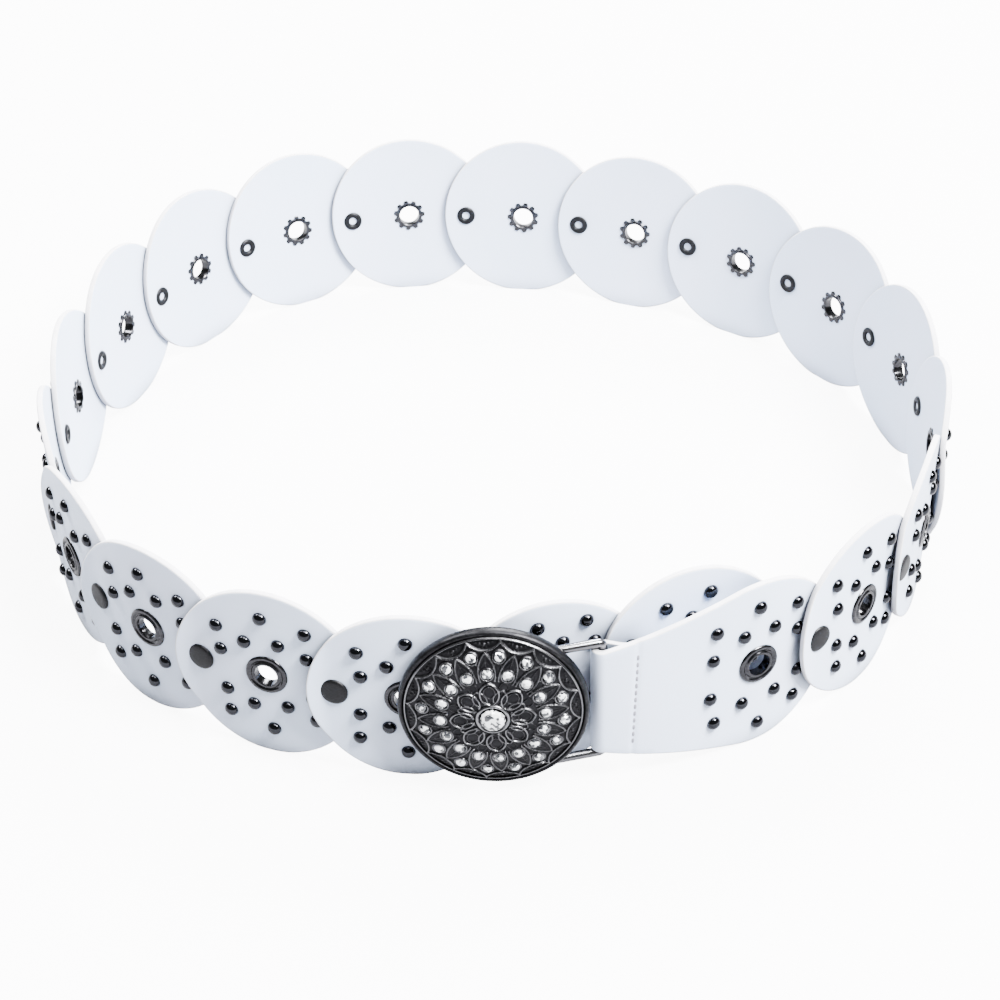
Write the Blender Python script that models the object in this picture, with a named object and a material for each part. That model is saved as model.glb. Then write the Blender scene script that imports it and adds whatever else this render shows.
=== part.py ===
"""Studded chain belt: round leather discs riveted into a loop, with a jewelled plate buckle.

Metres, +Z up. The belt stands on its edge as it was left, fastened, with the buckle facing -Y.
Places on the chain are given as s, v and w: s runs along the chain's line, to the right for
someone who looks at the belt from outside, and is 0 behind the middle of the buckle. v runs up
the leather from the discs' centre line, and w runs outward from the chain's line.
"""

import math

import bmesh
import bpy
import numpy as np
from mathutils import Vector
from mathutils.geometry import delaunay_2d_cdt

# Leather: discs cut from one hide, joined rivet to rivet
DISC_DIAMETER = 0.060
DISC_PITCH = 0.044
DISC_SIDES = 24
LEATHER_THICKNESS = 0.002
LOOP_DISCS = 18
FREE_DISCS = 2
PIECE_GAP = 0.0003

# Eyelet set in the middle of each disc: a ring outside and a washer inside
EYELET_RING_DIAMETER = 0.0136
EYELET_WASHER_DIAMETER = 0.0118
EYELET_HOLE_DIAMETER = 0.0073
EYELET_RING_HEIGHT = 0.0008
EYELET_WASHER_HEIGHT = 0.0007
EYELET_SIDES = 10

# Rivet through two discs: a flat cap outside and a rolled end inside
RIVET_CAP_DIAMETER = 0.009
RIVET_CAP_HEIGHT = 0.0009
RIVET_TAIL_DIAMETER = 0.0067
RIVET_TAIL_HEIGHT = 0.0008
RIVET_SHANK_DIAMETER = 0.0035
RIVET_SIDES = 8

# Strap end: the tab narrows to a strap, folds round the buckle's bar and is stitched down
STRAP_HEIGHT = 0.038
STRAP_FLAP_LENGTH = 0.019
STRAP_CLOSE_LENGTH = 0.008
STRAP_STANDOFF = 0.003

# Buckle: a cast round plate with a wire bail and a hook soldered to its back
PLATE_DIAMETER = 0.0572
PLATE_THICKNESS = 0.002
PLATE_RELIEF = 0.0009
PLATE_DOME = 0.0056
PLATE_DOME_POWER = 2.4
PLATE_FLAT_RIM_SHARE = 0.78
PLATE_SIDES = 40
PLATE_STANDOFF = 0.0024
PLATE_RISE = 0.0015
WIRE_DIAMETER = 0.0028
BAIL_FOOT_LENGTH = 0.020
HOOK_LENGTH = 0.008
SMALL_STONE_DIAMETER = 0.0032
SMALL_STONE_HEIGHT = 0.001
CENTRE_STONE_DIAMETER = 0.0076
CENTRE_STONE_HEIGHT = 0.0021
STONES_IN_RING = 16

# Lengths along the chain's line where the belt is closed
HOOK_TO_PLATE = 0.0262
PLATE_TO_BAR = 0.0326
BAR_TO_TAB = 0.0496

# Plan of the loop, as shares of its half width, and where on it the buckle sits
LOOP_DEPTH_SHARE = 0.935
LOOP_EGG_SHARE = 0.036
LOOP_SQUARE_SHARE = 0.028
BUCKLE_ANGLE = math.radians(283.8)
OUTLINE_STEPS = 3600

# Lean of the leather: the loop opens upward at the back and closes a little at the front
LEAN_MEAN = math.radians(3.5)
LEAN_BACK = math.radians(8.5)

# The free end turns in behind the buckle, runs on in a slack curve and lifts off the ground
FREE_BEND_RADIUS = 0.060
FREE_TURN = math.radians(16.5)
FREE_SLACK_RADIUS = 0.5
FREE_LIFT = math.radians(4.0)

DISC_RADIUS = DISC_DIAMETER / 2
HALF_PITCH = DISC_PITCH / 2
HALF_LEATHER = LEATHER_THICKNESS / 2
LAYER_STEP = LEATHER_THICKNESS + PIECE_GAP
WIRE_RADIUS = WIRE_DIAMETER / 2
FOLD_RADIUS = WIRE_RADIUS + PIECE_GAP + HALF_LEATHER
PLATE_RADIUS = PLATE_DIAMETER / 2
BAR_PLACE = PLATE_TO_BAR
STRAP_TAPER = math.asin(
    DISC_RADIUS / math.hypot(BAR_TO_TAB, STRAP_HEIGHT / 2)
) - math.atan2(STRAP_HEIGHT / 2, BAR_TO_TAB)
TAB_PLACE = PLATE_TO_BAR + BAR_TO_TAB
HOOKED_PLACE = TAB_PLACE + LOOP_DISCS * DISC_PITCH
LOOP_LENGTH = HOOKED_PLACE + HOOK_TO_PLATE
LIFT_PIVOT = HOOKED_PLACE + HALF_PITCH


def clear_scene():
    for thing in list(bpy.data.objects):
        bpy.data.objects.remove(thing)


def make_material(name, colour, roughness, metallic=0.0):
    material = bpy.data.materials.new(name)
    material.use_nodes = True
    shader = material.node_tree.nodes["Principled BSDF"]
    shader.inputs["Base Color"].default_value = (*colour, 1.0)
    shader.inputs["Roughness"].default_value = roughness
    shader.inputs["Metallic"].default_value = metallic
    return material


def loop_line():
    """The loop in plan, as arc lengths and points that start behind the buckle, turned to face -Y."""
    angle = BUCKLE_ANGLE + np.linspace(0.0, 2 * math.pi, OUTLINE_STEPS + 1)
    x = np.cos(angle) + LOOP_EGG_SHARE * np.cos(2 * angle)
    y = LOOP_DEPTH_SHARE * np.sin(angle) + LOOP_SQUARE_SHARE * np.sin(3 * angle)
    steps = np.hypot(np.diff(x), np.diff(y))
    lengths = np.concatenate([[0.0], np.cumsum(steps)])
    scale = LOOP_LENGTH / lengths[-1]
    turn = -math.atan2(y[1] - y[-2], x[1] - x[-2])
    points_x = scale * (x * math.cos(turn) - y * math.sin(turn))
    points_y = scale * (x * math.sin(turn) + y * math.cos(turn))
    return lengths * scale, points_x, points_y


LINE_S, LINE_X, LINE_Y = loop_line()


def loop_point(s):
    """The loop's point at s and its heading."""
    step = LOOP_LENGTH / OUTLINE_STEPS
    x = np.interp(s, LINE_S, LINE_X, period=LOOP_LENGTH)
    y = np.interp(s, LINE_S, LINE_Y, period=LOOP_LENGTH)
    dx = np.interp(s + step, LINE_S, LINE_X, period=LOOP_LENGTH) - x
    dy = np.interp(s + step, LINE_S, LINE_Y, period=LOOP_LENGTH) - y
    return x, y, math.atan2(dy, dx)


def along_arc(x, y, heading, length, radius):
    """Where an arc to the left ends, and its heading there."""
    turn = length / radius
    chord = 2 * radius * math.sin(turn / 2)
    x += chord * math.cos(heading + turn / 2)
    y += chord * math.sin(heading + turn / 2)
    return x, y, heading + turn


def chain_point(s):
    """The chain's point at s and its outward normal. Past the hooked disc it leaves the loop."""
    x, y, heading = loop_point(min(s, HOOKED_PLACE))
    past = max(s - HOOKED_PLACE, 0.0)
    bend = min(past, FREE_TURN * FREE_BEND_RADIUS)
    x, y, heading = along_arc(x, y, heading, bend, FREE_BEND_RADIUS)
    x, y, heading = along_arc(x, y, heading, past - bend, FREE_SLACK_RADIUS)
    return x, y, math.sin(heading), -math.cos(heading)


def place(s, v, w):
    """The world point at s, v, w. What would reach below the ground is pressed flat on it."""
    x, y, normal_x, normal_y = chain_point(s)
    lean = LEAN_MEAN + LEAN_BACK * normal_y
    foot = DISC_RADIUS * math.cos(math.pi / DISC_SIDES) * math.cos(lean)
    foot -= (HALF_LEATHER + LAYER_STEP / 2) * abs(math.sin(lean))
    out = v * math.sin(lean) + w * math.cos(lean)
    up = foot + v * math.cos(lean) - w * math.sin(lean)
    return Vector((x + normal_x * out, y + normal_y * out, max(up, 0.0)))


def lifted(s, v):
    """Where s, v goes on the free end, which is turned up about the rivet behind the buckle."""
    along = s - LIFT_PIVOT
    return (
        LIFT_PIVOT + along * math.cos(FREE_LIFT) - v * math.sin(FREE_LIFT),
        along * math.sin(FREE_LIFT) + v * math.cos(FREE_LIFT),
    )


def circle(centre, radius, sides, phase=0.0):
    """Points of a round outline about centre, counterclockwise."""
    return [
        (
            centre[0] + radius * math.cos(phase + 2 * math.pi * k / sides),
            centre[1] + radius * math.sin(phase + 2 * math.pi * k / sides),
        )
        for k in range(sides)
    ]


def flat_sheet(loops, inner_points=(), edges=()):
    """Triangles that fill the first loop and leave out the others.

    Returns the points, the triangles and each loop as indices of points.
    """
    points = [point for loop in loops for point in loop]
    rings = []
    start = 0
    for loop in loops:
        rings.append(list(range(start, start + len(loop))))
        start += len(loop)
    points += list(inner_points)
    result = delaunay_2d_cdt([Vector(p) for p in points], list(edges), rings, 1, 1e-7)
    verts, _, faces, made_of, _, inside_of = result
    index = {old: new for new, olds in enumerate(made_of) for old in olds}
    kept = [face for face, rings_in in zip(faces, inside_of) if list(rings_in) == [0]]
    return verts, kept, [[index[k] for k in ring] for ring in rings]


def finish_mesh(bm, name, material):
    """The closed mesh as an object, faces out and smooth except at its real edges."""
    bmesh.ops.recalc_face_normals(bm, faces=bm.faces)
    mesh = bpy.data.meshes.new(name)
    bm.to_mesh(mesh)
    bm.free()
    mesh.shade_smooth()
    mesh.set_sharp_from_angle(angle=math.radians(35))
    mesh.materials.append(material)
    thing = bpy.data.objects.new(name, mesh)
    bpy.context.scene.collection.objects.link(thing)
    return thing


def bridge(bm, first, second):
    """A band of quads between two rings with the same number of vertices."""
    for k in range(len(first)):
        after = (k + 1) % len(first)
        bm.faces.new((first[k], first[after], second[after], second[k]))


def eyelet_rings():
    """The eyelet's section between the leather's two faces, as radius and w, from outside in."""
    ring = EYELET_RING_DIAMETER / 2
    washer = EYELET_WASHER_DIAMETER / 2
    bore = EYELET_HOLE_DIAMETER / 2
    return [
        (ring - EYELET_RING_HEIGHT / 2, HALF_LEATHER + EYELET_RING_HEIGHT),
        (bore, HALF_LEATHER + EYELET_RING_HEIGHT),
        (bore, -HALF_LEATHER - EYELET_WASHER_HEIGHT),
        (washer - EYELET_WASHER_HEIGHT / 2, -HALF_LEATHER - EYELET_WASHER_HEIGHT),
    ]


def leather_solid(name, loops, inner_points, edges, put, material):
    """A sheet of leather with an eyelet in loop 1 and plain holes in the later loops.

    put(point, w) gives the world point for a point of the sheet, w outward from its middle.
    """
    points, triangles, rings = flat_sheet(loops, inner_points, edges)
    shrink = EYELET_WASHER_DIAMETER / EYELET_RING_DIAMETER
    on_eyelet = set(rings[1])
    bm = bmesh.new()
    outer = [bm.verts.new(put(point, HALF_LEATHER)) for point in points]
    inner = []
    for index, point in enumerate(points):
        flat = point * shrink if index in on_eyelet else point
        inner.append(bm.verts.new(put(flat, -HALF_LEATHER)))
    for a, b, c in triangles:
        bm.faces.new((outer[a], outer[b], outer[c]))
        bm.faces.new((inner[c], inner[b], inner[a]))
    for ring in [rings[0]] + rings[2:]:
        bridge(bm, [outer[k] for k in ring], [inner[k] for k in ring])
    previous = [outer[k] for k in rings[1]]
    for radius, w in eyelet_rings():
        flat = circle((0.0, 0.0), radius, EYELET_SIDES)
        current = [bm.verts.new(put(Vector(point), w)) for point in flat]
        bridge(bm, previous, current)
        previous = current
    bridge(bm, previous, [inner[k] for k in rings[1]])
    return finish_mesh(bm, name, material)


def rivet_hole(u):
    """A hole that clears a rivet's shank, at u from the disc's centre."""
    radius = RIVET_SHANK_DIAMETER / 2 + PIECE_GAP / math.cos(math.pi / RIVET_SIDES)
    return circle((u, 0.0), radius, RIVET_SIDES)


def eyelet_hole():
    return circle((0.0, 0.0), EYELET_RING_DIAMETER / 2, EYELET_SIDES)


def disc_place(number):
    return TAB_PLACE + number * DISC_PITCH


def leather_disc(number, material):
    """Disc number, counted from the tab. Its left end lies outside the disc before it."""
    centre = disc_place(number)
    free = number > LOOP_DISCS
    middle = lifted(centre, 0.0)[0] if free else centre

    def put(point, w):
        s, v = centre + point.x, point.y
        if free:
            s, v = lifted(s, v)
        return place(s, v, w - (s - middle) / DISC_PITCH * LAYER_STEP)

    loops = [
        circle((0.0, 0.0), DISC_RADIUS, DISC_SIDES, math.pi / DISC_SIDES),
        eyelet_hole(),
        rivet_hole(-HALF_PITCH),
    ]
    if number < LOOP_DISCS + FREE_DISCS:
        loops.append(rivet_hole(HALF_PITCH))
    inner_points = [
        (side * DISC_RADIUS * along, level * DISC_RADIUS * 0.38)
        for side in (-1, 1)
        for level in (-1, 1)
        for along in (0.33, 0.66)
    ]
    return leather_solid(f"disc_{number:02d}", loops, inner_points, (), put, material)


def strap_half_height(u):
    """Half the tab's height at u: the disc's round, then a straight taper down to the fold."""
    if u >= -DISC_RADIUS * math.sin(STRAP_TAPER):
        return math.sqrt(max(DISC_RADIUS**2 - u**2, 0.0))
    return STRAP_HEIGHT / 2 + max(u + BAR_TO_TAB, 0.0) * math.tan(STRAP_TAPER)


def eased(share):
    """Rises from 0 to 1 with level ends."""
    share = min(max(share, 0.0), 1.0)
    return share * share * (3 - 2 * share)


def strap_level(s):
    """How far outside the chain's line the strap's outer layer runs at s: out at the bar, in at the tab."""
    return STRAP_STANDOFF * eased((TAB_PLACE - s) / BAR_TO_TAB)


def strap_path(u):
    """Where the strap's middle is at u: s, w and the direction of its outer face, round the bar."""
    fold_start = -BAR_TO_TAB
    fold_length = math.pi * FOLD_RADIUS
    if u >= fold_start:
        level = strap_level(TAB_PLACE + u) - max(u, 0.0) / DISC_PITCH * LAYER_STEP
        return TAB_PLACE + u, level, 0.0, 1.0
    past = fold_start - u
    if past <= fold_length:
        angle = past / FOLD_RADIUS
        s = BAR_PLACE - FOLD_RADIUS * math.sin(angle)
        w = STRAP_STANDOFF + FOLD_RADIUS * (math.cos(angle) - 1)
        return s, w, -math.sin(angle), math.cos(angle)
    s = BAR_PLACE + past - fold_length
    share = (s - BAR_PLACE) / STRAP_CLOSE_LENGTH
    closing = 2 * FOLD_RADIUS - LAYER_STEP
    w = strap_level(s) - 2 * FOLD_RADIUS + closing * eased(share)
    return s, w, 0.0, -1.0


def tab_strap(material):
    """The end disc that narrows to a strap, folds round the bar and lies back on itself."""

    def put(point, w):
        s, middle, along, outward = strap_path(point.x)
        return place(s + along * w, point.y, middle + outward * w)

    fold_length = math.pi * FOLD_RADIUS
    taper_columns = [-DISC_RADIUS * math.sin(STRAP_TAPER)]
    taper_columns += [-DISC_RADIUS * share for share in (0.5, 0.75, 1.0, 1.3)]
    fold_columns = [-BAR_TO_TAB - fold_length * k / 6 for k in range(7)]
    flap_start = fold_columns[-1]
    flap_columns = [
        flap_start - STRAP_CLOSE_LENGTH * 0.33,
        flap_start - STRAP_CLOSE_LENGTH * 0.67,
        flap_start - STRAP_CLOSE_LENGTH,
        flap_start - STRAP_FLAP_LENGTH + FOLD_RADIUS + HALF_LEATHER,
    ]
    columns = taper_columns + fold_columns + flap_columns
    arc_steps = DISC_SIDES // 2
    round_end = [
        (
            DISC_RADIUS * math.cos(math.pi * (k / arc_steps - 0.5)),
            DISC_RADIUS * math.sin(math.pi * (k / arc_steps - 0.5)),
        )
        for k in range(arc_steps + 1)
    ]
    top = [(u, strap_half_height(u)) for u in columns]
    bottom = [(u, -strap_half_height(u)) for u in reversed(columns)]
    outline = round_end + top + bottom
    last_top = len(round_end) + len(top) - 1
    edges = [(last_top - k, last_top + 1 + k) for k in range(len(fold_columns + flap_columns))]
    loops = [outline, eyelet_hole(), rivet_hole(HALF_PITCH)]
    inner_points = [
        (side * DISC_RADIUS * 0.4, level * DISC_RADIUS * 0.42)
        for side in (-1, 1)
        for level in (-1, 1)
    ]
    return leather_solid("tab_strap", loops, inner_points, edges, put, material)


def rivet(number, material):
    """The rivet that joins disc number to the one before it."""
    middle = disc_place(number) - HALF_PITCH
    seat = LAYER_STEP / 2 + HALF_LEATHER + PIECE_GAP
    cap = RIVET_CAP_DIAMETER / 2
    tail = RIVET_TAIL_DIAMETER / 2
    shank = RIVET_SHANK_DIAMETER / 2
    section = [
        (cap * 0.85, seat + RIVET_CAP_HEIGHT),
        (cap, seat + RIVET_CAP_HEIGHT * 0.55),
        (cap, seat),
        (shank, seat),
        (shank, -seat),
        (tail, -seat),
        (tail * 0.9, -seat - RIVET_TAIL_HEIGHT),
    ]
    free = number > LOOP_DISCS

    def put(u, v, w):
        s, v = (lifted(middle + u, v)) if free else (middle + u, v)
        return place(s, v, w)

    bm = bmesh.new()
    previous = None
    for radius, w in section:
        flat = circle((0.0, 0.0), radius, RIVET_SIDES)
        current = [bm.verts.new(put(u, v, w)) for u, v in flat]
        if previous is None:
            bm.faces.new(current)
        else:
            bridge(bm, previous, current)
        previous = current
    bm.faces.new(previous)
    return finish_mesh(bm, f"rivet_{number:02d}", material)


def wave_ring(tips, tip_radius, valley_radius, phase):
    """An outline of pointed petals: tips and valleys in turn."""
    points = []
    for k in range(2 * tips):
        radius = valley_radius if k % 2 else tip_radius
        angle = phase + math.pi * k / tips
        points.append((radius * math.cos(angle), radius * math.sin(angle)))
    return points


def plate_outlines():
    """The cast face as outlines, each with its height over the plate's field, from the rim in."""
    radius = PLATE_RADIUS
    outer_turn = math.radians(-5.2)
    inner_turn = outer_turn + math.pi / STONES_IN_RING
    rim = [(1.0, 0.3), (0.975, 1.0), (0.945, 1.0), (0.93, 0.35), (0.91, 0.8), (0.888, 0.0)]
    outlines = [
        (circle((0, 0), radius * share, PLATE_SIDES), PLATE_RELIEF * height)
        for share, height in rim
    ]
    scallops = []
    for k in range(STONES_IN_RING):
        for share, turn in ((0.868, 0.0), (0.832, 0.33), (0.832, 0.67)):
            angle = outer_turn + 2 * math.pi * (k + turn) / STONES_IN_RING
            scallops.append((radius * share * math.cos(angle), radius * share * math.sin(angle)))
    outlines.append((scallops, PLATE_RELIEF * 0.5))
    petal_shares = [(0.785, 0.655, 0.6), (0.735, 0.625, 0.1)]
    for tip, valley, height in petal_shares:
        ring = wave_ring(STONES_IN_RING, radius * tip, radius * valley, inner_turn)
        outlines.append((ring, PLATE_RELIEF * height))
    stone_rings = [(0.742, outer_turn), (0.549, inner_turn)]
    table = 0.58
    for share, turn in stone_rings:
        for k in range(STONES_IN_RING):
            angle = turn + 2 * math.pi * k / STONES_IN_RING
            middle = (radius * share * math.cos(angle), radius * share * math.sin(angle))
            girdle = circle(middle, SMALL_STONE_DIAMETER / 2, 8, angle)
            flat = circle(middle, table * SMALL_STONE_DIAMETER / 2, 8, angle)
            outlines.append((girdle, PLATE_RELIEF * 0.2))
            outlines.append((flat, SMALL_STONE_HEIGHT))
    flower = STONES_IN_RING // 2
    for tip, valley, height in [(0.46, 0.36, 0.7), (0.41, 0.32, 0.1), (0.29, 0.235, 0.7)]:
        ring = wave_ring(flower, radius * tip, radius * valley, inner_turn)
        outlines.append((ring, PLATE_RELIEF * height))
    seat = CENTRE_STONE_DIAMETER / 2 + PIECE_GAP / math.cos(math.pi / 12)
    outlines.append((circle((0, 0), seat + 0.0012, 12), PLATE_RELIEF * 0.3))
    outlines.append((circle((0, 0), seat + 0.0006, 12), PLATE_RELIEF * 1.3))
    outlines.append((circle((0, 0), seat + 0.0001, 12), PLATE_RELIEF * 1.3))
    outlines.append((circle((0, 0), seat, 12), 0.0))
    return outlines


def on_plate(x, y, height):
    """The world point at x right and y up on the plate's face, which leans as the leather does."""
    across = Vector((x, 0.0, 0.0))
    return place(0.0, PLATE_RISE + y, PLATE_STANDOFF + PLATE_THICKNESS + height) + across


def plate_dome(x, y):
    """How far the domed field stands out over the rim at this place on the plate."""
    share = min(math.hypot(x, y) / PLATE_RADIUS, 1.0)
    return PLATE_DOME * (1.0 - share**PLATE_DOME_POWER)


def plate_back():
    """Rings of world points on the plate's back: a flat rim, then a hollow as deep as the dome."""
    rings = []
    for share in (1.0, PLATE_FLAT_RIM_SHARE):
        ring = circle((0, 0), PLATE_RADIUS * share, PLATE_SIDES)
        rings.append([on_plate(x, y, -PLATE_THICKNESS) for x, y in ring])
    for share in (0.92, 0.65, 0.33):
        ring = circle((0, 0), PLATE_RADIUS * PLATE_FLAT_RIM_SHARE * share, PLATE_SIDES)
        rings.append([on_plate(x, y, plate_dome(x, y) - PLATE_THICKNESS) for x, y in ring])
    return rings


def buckle_plate(material):
    """The cast plate: its front is the outlines' relief on a dome, its back is hollow."""
    outlines = plate_outlines()
    points = [point for loop, _ in outlines for point in loop]
    heights = [height for loop, height in outlines for _ in loop]
    edges = []
    start = 0
    for loop, _ in outlines:
        count = len(loop)
        edges += [(start + k, start + (k + 1) % count) for k in range(count)]
        start += count
    result = delaunay_2d_cdt([Vector(p) for p in points], edges, [], 0, 1e-7)
    flat, _, faces, made_of, _, _ = result
    bm = bmesh.new()
    front = []
    for point, olds in zip(flat, made_of):
        height = max((heights[k] for k in olds), default=0.0) + plate_dome(point.x, point.y)
        front.append(bm.verts.new(on_plate(point.x, point.y, height)))
    for face in faces:
        bm.faces.new([front[k] for k in face])
    index = {old: new for new, olds in enumerate(made_of) for old in olds}
    previous = [front[index[k]] for k in range(PLATE_SIDES)]
    for ring in plate_back():
        back = [bm.verts.new(spot) for spot in ring]
        bridge(bm, previous, back)
        previous = back
    bm.faces.new(previous)
    return finish_mesh(bm, "buckle", material)


def rounded(points, radius, steps=3):
    """The route through points with each inner corner turned on an arc-like curve."""
    route = [points[0]]
    for before, corner, after in zip(points, points[1:], points[2:]):
        start = corner + (before - corner).normalized() * radius
        end = corner + (after - corner).normalized() * radius
        for k in range(steps + 1):
            share = k / steps
            route.append(
                start * (1 - share) ** 2 + corner * 2 * share * (1 - share) + end * share**2
            )
    return route + [points[-1]]


def wire_operand(name, route, material):
    """A round wire along the route, hidden, to be united with the plate."""
    curve = bpy.data.curves.new(name, "CURVE")
    curve.dimensions = "3D"
    curve.bevel_depth = WIRE_RADIUS
    curve.bevel_resolution = 2
    curve.use_fill_caps = True
    spline = curve.splines.new("POLY")
    spline.points.add(len(route) - 1)
    for point, spot in zip(spline.points, route):
        point.co = (*spot, 1.0)
    holder = bpy.data.objects.new(name, curve)
    mesh = bpy.data.meshes.new_from_object(holder)
    bpy.data.objects.remove(holder)
    bm = bmesh.new()
    bm.from_mesh(mesh)
    bpy.data.meshes.remove(mesh)
    bmesh.ops.remove_doubles(bm, verts=bm.verts, dist=1e-6)
    operand = finish_mesh(bm, name, material)
    operand.hide_render = True
    operand.display_type = "WIRE"
    return operand


def bail_route():
    """From the plate's back above the strap, round the strap's fold and back to the plate."""
    reach = STRAP_HEIGHT / 2 + PIECE_GAP + WIRE_RADIUS
    bar_w = STRAP_STANDOFF - FOLD_RADIUS
    top = place(BAR_PLACE, reach, bar_w)
    bottom = place(BAR_PLACE, -reach, bar_w)
    foot_x = PLATE_TO_BAR - BAIL_FOOT_LENGTH
    depth = -PLATE_THICKNESS - WIRE_RADIUS * 0.5
    foot_top = on_plate(foot_x, reach - PLATE_RISE, depth)
    foot_bottom = on_plate(foot_x, -reach - PLATE_RISE, depth)
    shoulder = Vector((BAIL_FOOT_LENGTH * 0.3, 0.0, 0.0))
    points = [foot_top, foot_top + shoulder, top, bottom, foot_bottom + shoulder, foot_bottom]
    return rounded(points, WIRE_RADIUS + PIECE_GAP)


def hook_route():
    """From inside the plate through the hooked disc's eyelet, then along behind the disc."""
    clear = EYELET_HOLE_DIAMETER / 2 - WIRE_RADIUS - 3 * PIECE_GAP
    s = HOOKED_PLACE + clear
    behind = -(HALF_LEATHER + EYELET_WASHER_HEIGHT + 2 * PIECE_GAP + WIRE_RADIUS)
    elbow = place(s, 0.0, behind)
    through = place(s, 0.0, 0.0)
    outward = (through - elbow).normalized()
    plate_middle = on_plate(0.0, -PLATE_RISE, -PLATE_THICKNESS / 2).y
    start = through + outward * ((plate_middle - through.y) / outward.y)
    tip = place(s + HOOK_LENGTH, 0.0, behind)
    return rounded([start, elbow, tip], WIRE_DIAMETER * 0.7)


def buckle(metal):
    """Plate, bail and hook, soldered into one solid."""
    plate = buckle_plate(metal)
    for name, route in (("bail", bail_route()), ("hook", hook_route())):
        union = plate.modifiers.new(name, "BOOLEAN")
        union.operation = "UNION"
        union.solver = "EXACT"
        union.object = wire_operand(name, route, metal)
    return plate


def centre_stone(material):
    """The large round stone in the plate's middle: base, girdle, crown and table."""
    girdle = CENTRE_STONE_DIAMETER / 2
    height = CENTRE_STONE_HEIGHT
    section = [
        (girdle * 0.8, PIECE_GAP),
        (girdle, height * 0.5),
        (girdle * 0.6, height),
    ]
    bm = bmesh.new()
    previous = None
    for radius, level in section:
        spots = [on_plate(x, y, PLATE_DOME + level) for x, y in circle((0, 0), radius, 12)]
        ring = [bm.verts.new(spot) for spot in spots]
        if previous is None:
            bm.faces.new(ring)
        else:
            bridge(bm, previous, ring)
        previous = ring
    bm.faces.new(previous)
    return finish_mesh(bm, "centre_stone", material)


def centre_on_ground(things):
    """Moves the meshes so that the whole belt's box is centred over the origin."""
    corners = [vertex.co for thing in things for vertex in thing.data.vertices]
    lows = [min(corner[axis] for corner in corners) for axis in range(2)]
    highs = [max(corner[axis] for corner in corners) for axis in range(2)]
    shift = Vector((-(lows[0] + highs[0]) / 2, -(lows[1] + highs[1]) / 2, 0.0))
    for thing in things:
        for vertex in thing.data.vertices:
            vertex.co += shift


clear_scene()
leather = make_material("white_leather", (0.82, 0.84, 0.87), 0.42)
gunmetal = make_material("gunmetal", (0.09, 0.09, 0.10), 0.35, 0.9)
plate_metal = make_material("black_nickel", (0.16, 0.16, 0.17), 0.3, 1.0)
crystal = make_material("crystal", (0.92, 0.94, 0.97), 0.03)

tab_strap(leather)
for disc_number in range(1, LOOP_DISCS + FREE_DISCS + 1):
    leather_disc(disc_number, leather)
    rivet(disc_number, gunmetal)
buckle(plate_metal)
centre_stone(crystal)
centre_on_ground([thing for thing in bpy.data.objects if thing.type == "MESH"])
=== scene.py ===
"""Looks of the studded disc belt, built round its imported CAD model. Metres, +Z up."""

import math

import bmesh
import bpy
import numpy as np
from mathutils import Matrix, Vector


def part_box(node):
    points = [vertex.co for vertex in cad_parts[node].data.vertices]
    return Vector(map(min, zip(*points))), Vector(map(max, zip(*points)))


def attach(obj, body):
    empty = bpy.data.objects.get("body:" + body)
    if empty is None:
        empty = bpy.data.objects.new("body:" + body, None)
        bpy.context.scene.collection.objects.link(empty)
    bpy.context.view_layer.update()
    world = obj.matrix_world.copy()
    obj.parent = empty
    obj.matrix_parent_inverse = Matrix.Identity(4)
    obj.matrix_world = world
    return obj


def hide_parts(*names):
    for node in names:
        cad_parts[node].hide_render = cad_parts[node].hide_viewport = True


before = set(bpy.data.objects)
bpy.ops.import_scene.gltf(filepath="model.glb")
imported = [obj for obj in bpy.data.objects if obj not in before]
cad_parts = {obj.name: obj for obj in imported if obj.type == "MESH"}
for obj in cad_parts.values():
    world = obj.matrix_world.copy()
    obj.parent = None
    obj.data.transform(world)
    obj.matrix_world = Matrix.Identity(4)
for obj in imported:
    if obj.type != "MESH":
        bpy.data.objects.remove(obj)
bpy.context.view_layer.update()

# Leather discs: twenty rounds die-cut from a 2 mm hide with a satin white coat, each riveted over
# the edge of the one before, so that they bend as one chain.
DISC_RADIUS = 0.030
DISC_PITCH = 0.044
HALF_PITCH = DISC_PITCH / 2
LEATHER_THICKNESS = 0.002
HALF_LEATHER = LEATHER_THICKNESS / 2
PIECE_GAP = 0.0003
LAYER_STEP = LEATHER_THICKNESS + PIECE_GAP
LOOP_DISCS = 18
DISC_COUNT = 20
ROUNDS = range(DISC_COUNT + 1)
PLATE_TO_BAR = 0.0326
BAR_TO_TAB = 0.0496
HOOK_TO_PLATE = 0.0262
TAB_PLACE = PLATE_TO_BAR + BAR_TO_TAB
HOOKED_PLACE = TAB_PLACE + LOOP_DISCS * DISC_PITCH
LOOP_LENGTH = HOOKED_PLACE + HOOK_TO_PLATE
LOOP_DEPTH_SHARE = 0.935
LOOP_EGG_SHARE = 0.036
LOOP_SQUARE_SHARE = 0.028
BUCKLE_ANGLE = math.radians(283.8)
OUTLINE_STEPS = 3600
LEAN_MEAN = math.radians(3.5)
LEAN_BACK = math.radians(8.5)
FOOT_SHARE = math.cos(math.radians(7.5))
FREE_BEND_RADIUS = 0.060
FREE_TURN = math.radians(16.5)
FREE_SLACK_RADIUS = 0.5
FREE_LIFT = math.radians(4.0)
LIFT_PIVOT = HOOKED_PLACE + HALF_PITCH


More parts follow.
